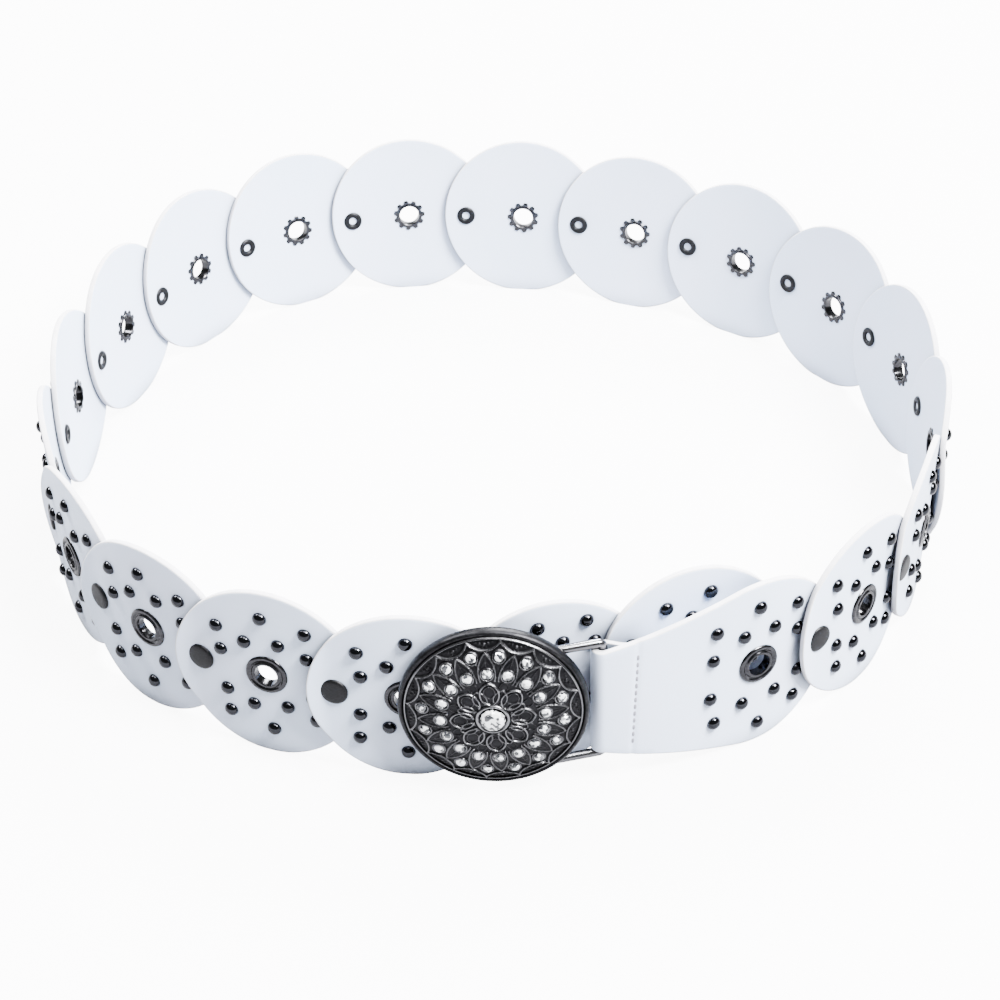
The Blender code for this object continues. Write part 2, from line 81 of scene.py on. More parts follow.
def loop_line():
    """The closed chain in plan, as arc lengths and points, with the buckle turned to face -Y."""
    angle = BUCKLE_ANGLE + np.linspace(0.0, 2 * math.pi, OUTLINE_STEPS + 1)
    x = np.cos(angle) + LOOP_EGG_SHARE * np.cos(2 * angle)
    y = LOOP_DEPTH_SHARE * np.sin(angle) + LOOP_SQUARE_SHARE * np.sin(3 * angle)
    lengths = np.concatenate([[0.0], np.cumsum(np.hypot(np.diff(x), np.diff(y)))])
    scale = LOOP_LENGTH / lengths[-1]
    turn = -math.atan2(y[1] - y[-2], x[1] - x[-2])
    plan_x = scale * (x * math.cos(turn) - y * math.sin(turn))
    plan_y = scale * (x * math.sin(turn) + y * math.cos(turn))
    return lengths * scale, plan_x, plan_y


LINE_S, LINE_X, LINE_Y = loop_line()


def along_arc(x, y, heading, length, radius):
    """Where an arc to the left ends, and its heading there."""
    turn = length / radius
    chord = 2 * radius * np.sin(turn / 2)
    x = x + chord * np.cos(heading + turn / 2)
    y = y + chord * np.sin(heading + turn / 2)
    return x, y, heading + turn


def chain_line(s):
    """The chain's points at s and its headings. Past the hooked disc it leaves the loop."""
    on_loop = np.minimum(s, HOOKED_PLACE)
    step = LOOP_LENGTH / OUTLINE_STEPS
    x = np.interp(on_loop, LINE_S, LINE_X, period=LOOP_LENGTH)
    y = np.interp(on_loop, LINE_S, LINE_Y, period=LOOP_LENGTH)
    dx = np.interp(on_loop + step, LINE_S, LINE_X, period=LOOP_LENGTH) - x
    dy = np.interp(on_loop + step, LINE_S, LINE_Y, period=LOOP_LENGTH) - y
    past = np.maximum(s - HOOKED_PLACE, 0.0)
    bend = np.minimum(past, FREE_TURN * FREE_BEND_RADIUS)
    x, y, heading = along_arc(x, y, np.arctan2(dy, dx), bend, FREE_BEND_RADIUS)
    return along_arc(x, y, heading, past - bend, FREE_SLACK_RADIUS)


def stand(s, v, w):
    """Points at s, v, w in the chain's own frame. What would pass the ground is pressed flat.

    s runs along the chain from the plate's middle, to the right as seen from outside. v runs up the
    leather and w runs outward.
    """
    s, v, w = (np.asarray(value, float) for value in np.broadcast_arrays(s, v, w))
    x, y, heading = chain_line(s)
    normal_x, normal_y = np.sin(heading), -np.cos(heading)
    lean = LEAN_MEAN + LEAN_BACK * normal_y
    foot = DISC_RADIUS * FOOT_SHARE * np.cos(lean)
    foot -= (HALF_LEATHER + LAYER_STEP / 2) * np.abs(np.sin(lean))
    out = v * np.sin(lean) + w * np.cos(lean)
    up = foot + v * np.cos(lean) - w * np.sin(lean)
    return np.stack([x + normal_x * out, y + normal_y * out, np.maximum(up, 0.0)], axis=-1)


def disc_place(number):
    return TAB_PLACE + number * DISC_PITCH


def lifted(s, v):
    """Where s, v goes on the free end, which is turned up about the rivet behind the buckle."""
    along = s - LIFT_PIVOT
    return (
        LIFT_PIVOT + along * math.cos(FREE_LIFT) - v * math.sin(FREE_LIFT),
        along * math.sin(FREE_LIFT) + v * math.cos(FREE_LIFT),
    )


def belt_shift():
    """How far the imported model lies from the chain's own frame, from the rivets of the loop."""
    gaps = []
    for number in range(1, LOOP_DISCS + 1):
        low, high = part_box(f"rivet_{number:02d}")
        middle = stand(disc_place(number) - HALF_PITCH, 0.0, 0.0)
        gaps.append([(low[axis] + high[axis]) / 2 - middle[axis] for axis in range(2)])
    shift_x, shift_y = np.mean(gaps, axis=0)
    return np.array([shift_x, shift_y, 0.0])


BELT_SHIFT = belt_shift()
SWAY_DEPTH = 0.0003
SWAY_LENGTH = 0.071
# How far the painted shade in the leather's narrow gaps reaches.
GAP_SHADE_REACH = 0.008
LIP_START = 0.0235
LIP_RISE = 0.0019
RIVET_PRESS = 0.00018
RIVET_PRESS_REACH = 0.0055


def place(s, v, w):
    """World points at s, v, w. The whole chain sways a little, as worked leather does."""
    sway = SWAY_DEPTH * np.sin(2 * math.pi * s / SWAY_LENGTH + 40 * v) * (v / DISC_RADIUS)
    return stand(s, v, w + sway) + BELT_SHIFT


def on_disc(number, u, v, w):
    """World points at u, v from the middle of disc number, w outward from its leather's middle.

    The left edge lifts over the studs of the disc before it, and the rivets press the leather in.
    """
    s = disc_place(number) + u
    middle = disc_place(number)
    if number > LOOP_DISCS:
        middle = lifted(middle, 0.0)[0]
        s, v_up = lifted(s, v)
    else:
        v_up = v
    lip = LIP_RISE * np.clip((-u - LIP_START) / (DISC_RADIUS - LIP_START), 0.0, 1.0) ** 1.3
    press = 0.0
    for rivet_u in (-HALF_PITCH, HALF_PITCH):
        away = ((u - rivet_u) ** 2 + v**2) / RIVET_PRESS_REACH**2
        press = press + RIVET_PRESS * np.exp(-away)
    side = np.sign(w)
    return place(s, v_up, w - (s - middle) / DISC_PITCH * LAYER_STEP + lip - press * side)


def new_mesh(name, points, faces):
    mesh = bpy.data.meshes.new(name)
    mesh.from_pydata(points, [], faces)
    return mesh


def new_object(name, data):
    made = bpy.data.objects.new(name, data)
    bpy.context.scene.collection.objects.link(made)
    return made


def mesh_from_rings(name, rings):
    """A closed mesh from rings of points, each joined to the next and the last to the first."""
    count, sides, _ = rings.shape
    faces = []
    for ring in range(count):
        start, after = ring * sides, (ring + 1) % count * sides
        for k in range(sides):
            turn = (k + 1) % sides
            faces.append((start + k, start + turn, after + turn, after + k))
    return new_mesh(name, rings.reshape(-1, 3).tolist(), faces)


def mark_points(mesh, name, values):
    marks = mesh.attributes.new(name, "FLOAT", "POINT")
    marks.data.foreach_set("value", values.astype(np.float32))


def turn_faces_out(mesh, merge=0.0):
    """Turns the faces of a closed mesh outward, after its doubles are merged."""
    bm = bmesh.new()
    bm.from_mesh(mesh)
    if merge:
        bmesh.ops.remove_doubles(bm, verts=bm.verts, dist=merge)
    bmesh.ops.recalc_face_normals(bm, faces=bm.faces)
    bm.to_mesh(mesh)
    bm.free()


def add_piece(mesh, material, replaced=(), sharp=35.0):
    """The mesh as a piece of the belt that rides on its body and stands for the CAD nodes."""
    mesh.shade_smooth()
    mesh.set_sharp_from_angle(angle=math.radians(sharp))
    mesh.materials.clear()
    mesh.materials.append(material)
    piece = new_object(mesh.name, mesh)
    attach(piece, "root")
    if replaced:
        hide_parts(*replaced)
    return piece


def feed(tree, node, inputs):
    """Sets or links inputs of the node, by name or number."""
    for key, value in inputs.items():
        if isinstance(value, bpy.types.NodeSocket):
            tree.links.new(value, node.inputs[key])
        else:
            node.inputs[key].default_value = value
    return node


def add_node(tree, kind, inputs, **settings):
    made = tree.nodes.new(kind)
    for key, value in settings.items():
        setattr(made, key, value)
    return feed(tree, made, inputs)


def maths(tree, operation, *values, clamp=False):
    inputs = dict(enumerate(values))
    return add_node(tree, "ShaderNodeMath", inputs, operation=operation, use_clamp=clamp).outputs[0]


def mixed(tree, share, low, high):
    return add_node(tree, "ShaderNodeMix", {0: share, 2: low, 3: high}).outputs[0]


def blend(tree, share, low, high):
    """A colour between low and high, which are sockets or red, green and blue."""
    low, high = (end if isinstance(end, bpy.types.NodeSocket) else (*end, 1.0) for end in (low, high))
    return add_node(tree, "ShaderNodeMix", {0: share, 6: low, 7: high}, data_type="RGBA").outputs[2]


def ramp(tree, value, low, high, start=0.0, end=1.0):
    """Low where the value is at start or less, high where it is at end or more."""
    inputs = {0: value, 1: start, 2: end, 3: low, 4: high}
    return add_node(tree, "ShaderNodeMapRange", inputs).outputs[0]


def object_spot(tree):
    return tree.nodes.new("ShaderNodeTexCoord").outputs["Object"]


def new_group(name, inputs, output):
    """An empty shader group of floats: its tree, the inputs inside it and its one result."""
    tree = bpy.data.node_groups.new(name, "ShaderNodeTree")
    for label, default in inputs.items():
        socket = tree.interface.new_socket(label, in_out="INPUT", socket_type="NodeSocketFloat")
        socket.default_value = default
    tree.interface.new_socket(output, in_out="OUTPUT", socket_type="NodeSocketFloat")
    given = tree.nodes.new("NodeGroupInput").outputs
    return tree, given, tree.nodes.new("NodeGroupOutput").inputs[0]


def use_group(tree, group, inputs):
    made = tree.nodes.new("ShaderNodeGroup")
    made.node_tree = group
    return feed(tree, made, inputs).outputs[0]


def mottle_group():
    """Slow cloudy change over a surface, from 0 to 1, with a finer one over it."""
    tree, given, result = new_group("mottle", {"Patch Size": 0.02, "Contrast": 1.0}, "Mask")
    scale = maths(tree, "DIVIDE", 1.0, given["Patch Size"])
    inputs = {"Vector": object_spot(tree), "Scale": scale, "Detail": 5.0}
    cloud = add_node(tree, "ShaderNodeTexNoise", inputs).outputs["Fac"]
    centred = maths(tree, "SUBTRACT", cloud, 0.5)
    spread = maths(tree, "MULTIPLY_ADD", centred, given["Contrast"], 0.5, clamp=True)
    tree.links.new(spread, result)
    return tree


def hide_grain_group():
    """The hide's pores and fine creases as a height from 0 to 1."""
    tree, given, result = new_group("hide_grain", {"Pore Size": 0.0006, "Crease Share": 0.4}, "Height")
    spot = object_spot(tree)
    scale = maths(tree, "DIVIDE", 1.0, given["Pore Size"])
    inputs = {"Vector": spot, "Scale": scale}
    pores = add_node(tree, "ShaderNodeTexVoronoi", inputs, feature="SMOOTH_F1").outputs["Distance"]
    crease_scale = maths(tree, "MULTIPLY", scale, 0.22)
    inputs = {"Vector": spot, "Scale": crease_scale, "Detail": 4.0, "Distortion": 0.6}
    creases = add_node(tree, "ShaderNodeTexNoise", inputs).outputs["Fac"]
    tree.links.new(mixed(tree, given["Crease Share"], pores, creases), result)
    return tree


def new_material(name):
    material = bpy.data.materials.new(name)
    material.use_nodes = True
    tree = material.node_tree
    return material, tree, tree.nodes["Principled BSDF"]


def leather_material():
    """Satin white coat on the faces, bare fibre on the cut edges, and painted shade that darkens the
    narrow gaps.
    """
    material, tree, shader = new_material("white_leather")
    patches = use_group(tree, mottle, {"Patch Size": 0.035, "Contrast": 1.6})
    rubs = use_group(tree, mottle, {"Patch Size": 0.004, "Contrast": 1.4})
    pores = use_group(tree, hide_grain_group(), {"Pore Size": 0.0007, "Crease Share": 0.35})
    cut = add_node(tree, "ShaderNodeAttribute", {}, attribute_name="cut_edge").outputs["Fac"]
    coat = blend(tree, patches, (0.62, 0.74, 0.93), (0.70, 0.76, 0.94))
    fibre = blend(tree, rubs, (0.56, 0.55, 0.58), (0.72, 0.71, 0.74))
    clean = blend(tree, cut, coat, fibre)
    # Painted shade: ambient occlusion greys the coat's colour in narrow gaps and slots, where shade
    # falls.
    gap = add_node(tree, "ShaderNodeAmbientOcclusion", {"Distance": GAP_SHADE_REACH}, samples=6)
    painted_gap_shade = ramp(tree, gap.outputs["AO"], 0.22, 1.0, 0.30, 0.88)
    inputs = {0: 1.0, 6: clean, 7: painted_gap_shade}
    coat_with_painted_shade = add_node(tree, "ShaderNodeMix", inputs, data_type="RGBA", blend_type="MULTIPLY")
    satin = ramp(tree, rubs, 0.34, 0.46)
    bump = add_node(tree, "ShaderNodeBump", {"Strength": 0.55, "Distance": 0.00005, "Height": pores})
    looks = {
        "Base Color": coat_with_painted_shade.outputs[2],
        "Roughness": mixed(tree, cut, satin, 0.8),
        "Specular IOR Level": 0.4,
        "Sheen Weight": 0.05,
        "Normal": bump.outputs["Normal"],
    }
    feed(tree, shader, looks)
    return material


DISC_SEGMENTS = 96
EDGE_STEPS = 3
EYELET_CUT_RADIUS = 0.0040
FACE_ROUND = 0.0005
BACK_ROUND = 0.00035
FACE_SHARES = (0.0, 0.12, 0.26, 0.4, 0.54, 0.67, 0.78, 0.87, 0.94, 0.98, 1.0)


def edge_section():
    """The cut edge from face to back: how far in from the outline, and w."""
    section = []
    for side, rounding in ((1, FACE_ROUND), (-1, BACK_ROUND)):
        for turn in np.linspace(0.0, math.pi / 2, EDGE_STEPS + 1)[::side]:
            drop = rounding * (1 - math.cos(turn))
            section.append((rounding * (1 - math.sin(turn)), side * (HALF_LEATHER - drop)))
    return section


def disc_section():
    """From the eyelet's hole over the face, round the edge and back: radius, w, and if it is cut."""
    faces = []
    for side, rounding in ((1, FACE_ROUND), (-1, BACK_ROUND)):
        reach = DISC_RADIUS - rounding - EYELET_CUT_RADIUS
        radii = [EYELET_CUT_RADIUS + reach * share for share in FACE_SHARES[:-1]]
        faces.append([(radius, side * HALF_LEATHER, 0.0) for radius in radii[::side]])
    edge = [(DISC_RADIUS - inset, w, float(abs(w) < HALF_LEATHER)) for inset, w in edge_section()]
    return np.array(faces[0] + edge + faces[1])


def add_disc(number, material):
    section = disc_section()
    angle = 2 * math.pi * np.arange(DISC_SEGMENTS) / DISC_SEGMENTS
    u = section[:, :1] * np.cos(angle)
    v = section[:, :1] * np.sin(angle)
    w = np.repeat(section[:, 1:2], DISC_SEGMENTS, axis=1)
    mesh = mesh_from_rings(f"leather_disc_{number:02d}", on_disc(number, u, v, w))
    mark_points(mesh, "cut_edge", np.repeat(section[:, 2], DISC_SEGMENTS))
    turn_faces_out(mesh)
    return add_piece(mesh, material, [f"disc_{number:02d}"], 60.0)


mottle = mottle_group()
leather = leather_material()
for disc_number in ROUNDS[1:]:
    add_disc(disc_number, leather)

# Tab strap: the first leather round, whose left side tapers to a 38 mm strap. The strap folds
# round the buckle's wire bar and is sewn down on its own back with one upright row of stitches.
STRAP_HEIGHT = 0.038
STRAP_FLAP_LENGTH = 0.019
STRAP_CLOSE_LENGTH = 0.008
STRAP_TAPER = math.asin(DISC_RADIUS / math.hypot(BAR_TO_TAB, STRAP_HEIGHT / 2))
STRAP_TAPER -= math.atan2(STRAP_HEIGHT / 2, BAR_TO_TAB)
STRAP_STANDOFF = 0.003
WIRE_RADIUS = 0.0014
FOLD_RADIUS = WIRE_RADIUS + PIECE_GAP + HALF_LEATHER
FOLD_LENGTH = math.pi * FOLD_RADIUS
STRAP_START = -0.035
STITCH_ROW = -BAR_TO_TAB + 0.0092
STITCH_SLANT = 0.05
STITCH_GROOVE = 0.00025
GROOVE_HALF_WIDTH = 0.0008
NECK_SHARE = 0.6
OUTLINE_SEGMENTS = 36
CUT_STEPS = 20
STRAP_STEPS = 25
FOLD_STEPS = 24
# The flap's cut end: how far it draws in, and how far past the flap.
FLAP_END_ROUND = ((0.00012, 0.0003), (0.0005, 0.00045))


def eased(share):
    """Rises from 0 to 1 with level ends."""
    share = np.clip(share, 0.0, 1.0)
    return share * share * (3 - 2 * share)


def strap_half_height(u):
    """Half the tab's height at u: the disc's round, then a straight taper down to the fold."""
    round_height = np.sqrt(np.maximum(DISC_RADIUS**2 - u**2, 0.0))
    taper = STRAP_HEIGHT / 2 + np.maximum(u + BAR_TO_TAB, 0.0) * math.tan(STRAP_TAPER)
    return np.where(u >= -DISC_RADIUS * math.sin(STRAP_TAPER), round_height, taper)


def strap_path(u):
    """Where the strap's middle is at u: s, w and the direction of its outer face, round the bar."""
    past = -BAR_TO_TAB - u
    angle = np.clip(past / FOLD_RADIUS, 0.0, math.pi)
    after = np.maximum(past - FOLD_LENGTH, 0.0)
    before = np.maximum(-past, 0.0)
    s = PLATE_TO_BAR + before + after - FOLD_RADIUS * np.sin(angle)
    level = STRAP_STANDOFF * eased((TAB_PLACE - s) / BAR_TO_TAB)
    level = level - np.maximum(u, 0.0) / DISC_PITCH * LAYER_STEP
    closing = (2 * FOLD_RADIUS - LAYER_STEP) * eased(after / STRAP_CLOSE_LENGTH)
    w = level + FOLD_RADIUS * (np.cos(angle) - 1) + np.where(after > 0, closing, 0.0)
    return s, w, -np.sin(angle), np.cos(angle)


def on_tab(u, v, w):
    """World points at u, v from the tab's eyelet, w outward from the leather's middle."""
    s, middle, along, outward = strap_path(u)
    groove = STITCH_GROOVE * np.exp(-(((u - STITCH_ROW - STITCH_SLANT * v) / GROOVE_HALF_WIDTH) ** 2))
    away = ((u - HALF_PITCH) ** 2 + v**2) / RIVET_PRESS_REACH**2
    press = RIVET_PRESS * np.exp(-away) + groove * (w > 0)
    w = w - press * np.sign(w)
    return place(s + along * w, v, middle + outward * w)


def tab_outline():
    """The round end and the neck, from the cut line's top round to its bottom."""
    dense_u = np.concatenate([
        np.linspace(STRAP_START, -NECK_SHARE * DISC_RADIUS, 60),
        DISC_RADIUS * np.cos(np.linspace(math.acos(-NECK_SHARE), 0.0, 120))[1:],
    ])
    dense_v = strap_half_height(dense_u)
    lengths = np.concatenate([[0.0], np.cumsum(np.hypot(np.diff(dense_u), np.diff(dense_v)))])
    even = np.linspace(0.0, lengths[-1], OUTLINE_SEGMENTS + 1)
    top_u = np.interp(even, lengths, dense_u)
    top_v = np.interp(even, lengths, dense_v)
    full_u = np.concatenate([top_u, top_u[-2::-1]])
    full_v = np.concatenate([top_v, -top_v[-2::-1]])
    return np.stack([full_u, full_v], axis=-1)


def inset_outline(outline, inset):
    """The outline moved in by inset, square to itself."""
    along = np.gradient(outline, axis=0)
    along /= np.linalg.norm(along, axis=1)[:, None]
    inward = np.stack([along[:, 1], -along[:, 0]], axis=-1)
    moved = outline + inset * inward
    moved[0, 0] = moved[-1, 0] = STRAP_START
    return moved


def grid_faces(first, rows, columns, closed):
    """Quads of a grid of points, whose rows may be closed on themselves."""
    faces = []
    for row in range(rows - 1):
        for k in range(columns if closed else columns - 1):
            a = first + row * columns + k
            b = first + row * columns + (k + 1) % columns
            faces.append((a, b, b + columns, a + columns))
    return faces


def add_tab_strap(material):
    """One closed skin: two faces round the eyelet, the cut edge, and the strap as a flat tube."""
    outline = tab_outline()
    points, cuts, faces = [], [], []

    def add_grid(rows, cut, closed):
        array = np.array(rows)
        faces.extend(grid_faces(sum(len(p) for p in points), *array.shape[:2], closed))
        points.append(array.reshape(-1, 3))
        cuts.append(np.broadcast_to(cut, array.shape[:2]).ravel())

    hole_rows = []
    for side, rounding in ((1, FACE_ROUND), (-1, BACK_ROUND)):
        rim = inset_outline(outline, rounding)
        loop = np.concatenate([rim, np.linspace(rim[-1], rim[0], CUT_STEPS + 1)[1:-1]])
        angle = np.arctan2(loop[:, 1], loop[:, 0])
        hole = EYELET_CUT_RADIUS * np.stack([np.cos(angle), np.sin(angle)], axis=-1)
        flats = [hole + (loop - hole) * share for share in FACE_SHARES]
        rows = [on_tab(flat[:, 0], flat[:, 1], side * HALF_LEATHER) for flat in flats]
        add_grid(rows, 0.0, True)
        hole_rows.append(rows[0])
    add_grid(hole_rows, 0.0, True)

    edge = edge_section()
    inner = edge[1:-1]
    flats = [(inset_outline(outline, inset), w) for inset, w in edge]
    edge_cut = np.array([[0.0]] + [[1.0]] * len(inner) + [[0.0]])
    add_grid([on_tab(flat[:, 0], flat[:, 1], w) for flat, w in flats], edge_cut, False)

    straight = np.linspace(STRAP_START, -BAR_TO_TAB, STRAP_STEPS + 1)[:-1]
    fold = -BAR_TO_TAB - FOLD_LENGTH * np.linspace(0.0, 1.0, FOLD_STEPS + 1)
    flap_end = fold[-1] - STRAP_FLAP_LENGTH + FOLD_RADIUS + HALF_LEATHER
    flap = np.linspace(fold[-1], flap_end, STRAP_STEPS + 1)[1:]
    face_line = np.linspace(-1.0, 1.0, CUT_STEPS + 1)
    section = [(share, FACE_ROUND, HALF_LEATHER, 0.0) for share in face_line]
    section += [(1.0, inset, w, 1.0) for inset, w in inner]
    section += [(-share, BACK_ROUND, -HALF_LEATHER, 0.0) for share in face_line]
    section += [(-1.0, inset, w, 1.0) for inset, w in inner[::-1]]
    share, inset, w, cut = np.array(section).T
    rows = []
    for u in np.concatenate([straight, fold, flap]):
        v = share * (strap_half_height(np.array(u)) - inset * math.cos(STRAP_TAPER))
        rows.append(on_tab(np.full(len(v), u), v, w))
    cut_rows = [cut] * len(rows)
    for shrink, past in FLAP_END_ROUND:
        end_v = v * (1 - 2 * shrink / STRAP_HEIGHT)
        end_w = w * (1 - 0.8 * shrink / HALF_LEATHER)
        rows.append(on_tab(np.full(len(v), flap_end - past), end_v, end_w))
        cut_rows.append(np.ones(len(v)))
    add_grid(rows, np.array(cut_rows), True)

    cap = sum(len(p) for p in points) - len(section)
    far = cap + 2 * CUT_STEPS + 1 + len(inner)
    for k in range(CUT_STEPS):
        faces.append((cap + k, cap + k + 1, far - k - 1, far - k))
    faces.append(tuple(cap + CUT_STEPS + k for k in range(len(inner) + 2)))
    faces.append((*(far + k for k in range(len(inner) + 1)), cap))

    mesh = new_mesh("leather_tab_strap", np.concatenate(points).tolist(), faces)
    mark_points(mesh, "cut_edge", np.concatenate(cuts))
    turn_faces_out(mesh, 2e-6)
    return add_piece(mesh, material, ["tab_strap"], 60.0)


add_tab_strap(leather)

# Eyelets: brass sets plated in black nickel, one in each round. A stepped ring shows outside. Its
# barrel passes through the leather and is rolled over a washer with eleven teeth inside.
EYELET_RING_DIAMETER = 0.0136
EYELET_SEGMENTS = 48
# Radius and height in millimetres.
EYELET_SECTION = (
    (3.65, 1.40), (3.72, 1.64), (3.95, 1.77), (4.35, 1.76), (4.62, 1.60), (4.80, 1.30),
    (5.02, 1.20), (5.28, 1.30), (5.60, 1.62), (6.02, 1.67), (6.42, 1.53), (6.70, 1.26),
    (6.80, 1.00), (6.72, 0.95), (4.10, 0.95), (3.97, 0.85), (3.97, -0.90), (4.12, -0.97),
    (4.62, -1.02), (4.78, -1.26), (4.62, -1.55), (4.28, -1.70), (3.92, -1.66), (3.70, -1.45),
)
WASHER_DIAMETER = 0.0118
WASHER_THICKNESS = 0.00045
WASHER_TEETH = 11
WASHER_TOOTH_SEGMENTS = 12
WASHER_VALLEY_SHARE = 0.83
WASHER_BORE_SHARE = 0.73
SEAT_STEP = 0.0004
MILLIMETRE = 0.001


def cap_ends(mesh, sides):
    """Parts the last ring of points from the first, and closes both with a flat face."""
    bm = bmesh.new()
    bm.from_mesh(mesh)
    bm.verts.ensure_lookup_table()
    first = set(bm.verts[:sides])
    last = set(bm.verts[-sides:])
    across = [edge for edge in bm.edges if first & set(edge.verts) and last & set(edge.verts)]
    bmesh.ops.delete(bm, geom=across, context="EDGES")
    bmesh.ops.holes_fill(bm, edges=bm.edges, sides=0)
    bm.to_mesh(mesh)
    bm.free()


def lathe(name, section, segments, capped=False, radius_at=None):
    """A mesh turned from a section of radius and height. It closes on itself, or ends in caps."""
    section = np.array(section, float)
    angle = 2 * math.pi * np.arange(segments) / segments
    radius = np.repeat(section[:, :1], segments, axis=1)
    if radius_at is not None:
        radius = radius_at(radius, angle)
    height = np.repeat(section[:, 1:2], segments, axis=1)
    rings = np.stack([radius * np.cos(angle), radius * np.sin(angle), height], axis=-1)
    mesh = mesh_from_rings(name, rings)
    if capped:
        cap_ends(mesh, segments)
    turn_faces_out(mesh)
    return mesh


def fittings_tree():
    """Sets one fitting on each seat, turned to the leather there, scaled, and made one mesh."""
    tree = bpy.data.node_groups.new("set_fittings", "GeometryNodeTree")
    for label, kind in (
        ("Geometry", "Geometry"),
        ("Fitting", "Object"),
        ("Diameter", "Float"),
        ("Height", "Float"),
        ("Turn Spread", "Float"),
        ("Size Spread", "Float"),
        ("Seed", "Int"),
        ("Finish", "Material"),
    ):
        tree.interface.new_socket(label, in_out="INPUT", socket_type="NodeSocket" + kind)
    tree.interface.new_socket("Geometry", in_out="OUTPUT", socket_type="NodeSocketGeometry")
    given = tree.nodes.new("NodeGroupInput").outputs
    result = tree.nodes.new("NodeGroupOutput").inputs[0]

    def direction(name):
        kind = "GeometryNodeInputNamedAttribute"
        return add_node(tree, kind, {"Name": name}, data_type="FLOAT_VECTOR").outputs[0]

    def any_between(low, high):
        inputs = {2: low, 3: high, "Seed": given["Seed"]}
        return add_node(tree, "FunctionNodeRandomValue", inputs, data_type="FLOAT").outputs[1]

    axes = {0: direction("outward"), 1: direction("along")}
    upright = add_node(
        tree, "FunctionNodeAxesToRotation", axes, primary_axis="Z", secondary_axis="X"
    )
    turn = any_between(maths(tree, "MULTIPLY", given["Turn Spread"], -1.0), given["Turn Spread"])
    about = add_node(tree, "FunctionNodeAxisAngleToRotation", {"Axis": (0, 0, 1), "Angle": turn})
    turns = {0: upright.outputs[0], 1: about.outputs[0]}
    turned = add_node(tree, "FunctionNodeRotateRotation", turns, rotation_space="LOCAL")
    size = any_between(maths(tree, "SUBTRACT", 1.0, given["Size Spread"]), 1.0)
    width = maths(tree, "MULTIPLY", given["Diameter"], size)
    scale = add_node(tree, "ShaderNodeCombineXYZ", {0: width, 1: width, 2: given["Height"]})
    fitting = add_node(tree, "GeometryNodeObjectInfo", {"Object": given["Fitting"]})
    setting = {
        "Points": given["Geometry"],
        "Instance": fitting.outputs["Geometry"],
        "Rotation": turned.outputs[0],
        "Scale": scale.outputs[0],
    }
    placed = add_node(tree, "GeometryNodeInstanceOnPoints", setting)
    real = add_node(tree, "GeometryNodeRealizeInstances", {0: placed.outputs[0]})
    finish = {0: real.outputs[0], "Material": given["Finish"]}
    tree.links.new(add_node(tree, "GeometryNodeSetMaterial", finish).outputs[0], result)
    return tree


def seat_at(put, u, v, w):
    """A seat on the leather: its point, the way out of the leather there and the way along it."""
    along = put(u + SEAT_STEP, v, w) - put(u - SEAT_STEP, v, w)
    up = put(u, v + SEAT_STEP, w) - put(u, v - SEAT_STEP, w)
    outward = np.cross(along, up)
    return put(u, v, w), outward / np.linalg.norm(outward), along / np.linalg.norm(along)


def set_fittings(name, template, seats, material, sizes, replaced=(), sharp=35.0):
    """One piece made of the template mesh set on every seat by the geometry nodes."""
    holder = new_object("fitting_shape", template)
    points = new_mesh("seats", [tuple(seat[0]) for seat in seats], [])
    for label, column in (("outward", 1), ("along", 2)):
        attribute = points.attributes.new(label, "FLOAT_VECTOR", "POINT")
        flat = np.array([seat[column] for seat in seats], np.float32).ravel()
        attribute.data.foreach_set("vector", flat)
    carrier = new_object("seats", points)
    modifier = carrier.modifiers.new("fittings", "NODES")
    modifier.node_group = FITTINGS
    values = {"Fitting": holder, "Finish": material, **sizes}
    for item in FITTINGS.interface.items_tree:
        if item.item_type == "SOCKET" and item.in_out == "INPUT" and item.name in values:
            modifier[item.identifier] = values[item.name]
    graph = bpy.context.evaluated_depsgraph_get()
    mesh = bpy.data.meshes.new_from_object(carrier.evaluated_get(graph))
    mesh.name = name
    for thing in (carrier, holder):
        bpy.data.objects.remove(thing)
    return add_piece(mesh, material, replaced, sharp)


def disc_put(number):
    """Where points of a round lie, for disc number or for the tab, which is 0."""
    if number == 0:
        return on_tab
    return lambda u, v, w: on_disc(number, u, v, w)


def handling_marks_group():
    """Fine handling marks on metal as a mask from 0 to 1."""
    tree, given, result = new_group("handling_marks", {"Mark Size": 0.001}, "Mask")
    inputs = {"Vector": object_spot(tree), "Scale": (1.0, 1.0, 5.0)}
    stretched = add_node(tree, "ShaderNodeMapping", inputs).outputs[0]
    scale = maths(tree, "DIVIDE", 1.0, given["Mark Size"])
    inputs = {"Vector": stretched, "Scale": scale, "Detail": 6.0, "Roughness": 0.7}
    marks = add_node(tree, "ShaderNodeTexNoise", inputs).outputs["Fac"]
    tree.links.new(ramp(tree, marks, 0.0, 1.0, 0.4, 0.7), result)
    return tree


def plated_material(name, dark, light, smooth, rough, mark_size):
    """Dark plating whose colour and gloss change a little with handling."""
    material, tree, shader = new_material(name)
    marks = use_group(tree, handling_marks, {"Mark Size": mark_size})
    looks = {
        "Base Color": blend(tree, marks, dark, light),
        "Roughness": ramp(tree, marks, smooth, rough),
        "Metallic": 1.0,
    }
    feed(tree, shader, looks)
    return material


def millimetre_section(section, diameter):
    """A section in millimetres with its radii as shares of the diameter, to be set 1 mm high."""
    return [(radius * MILLIMETRE / diameter, w) for radius, w in section]


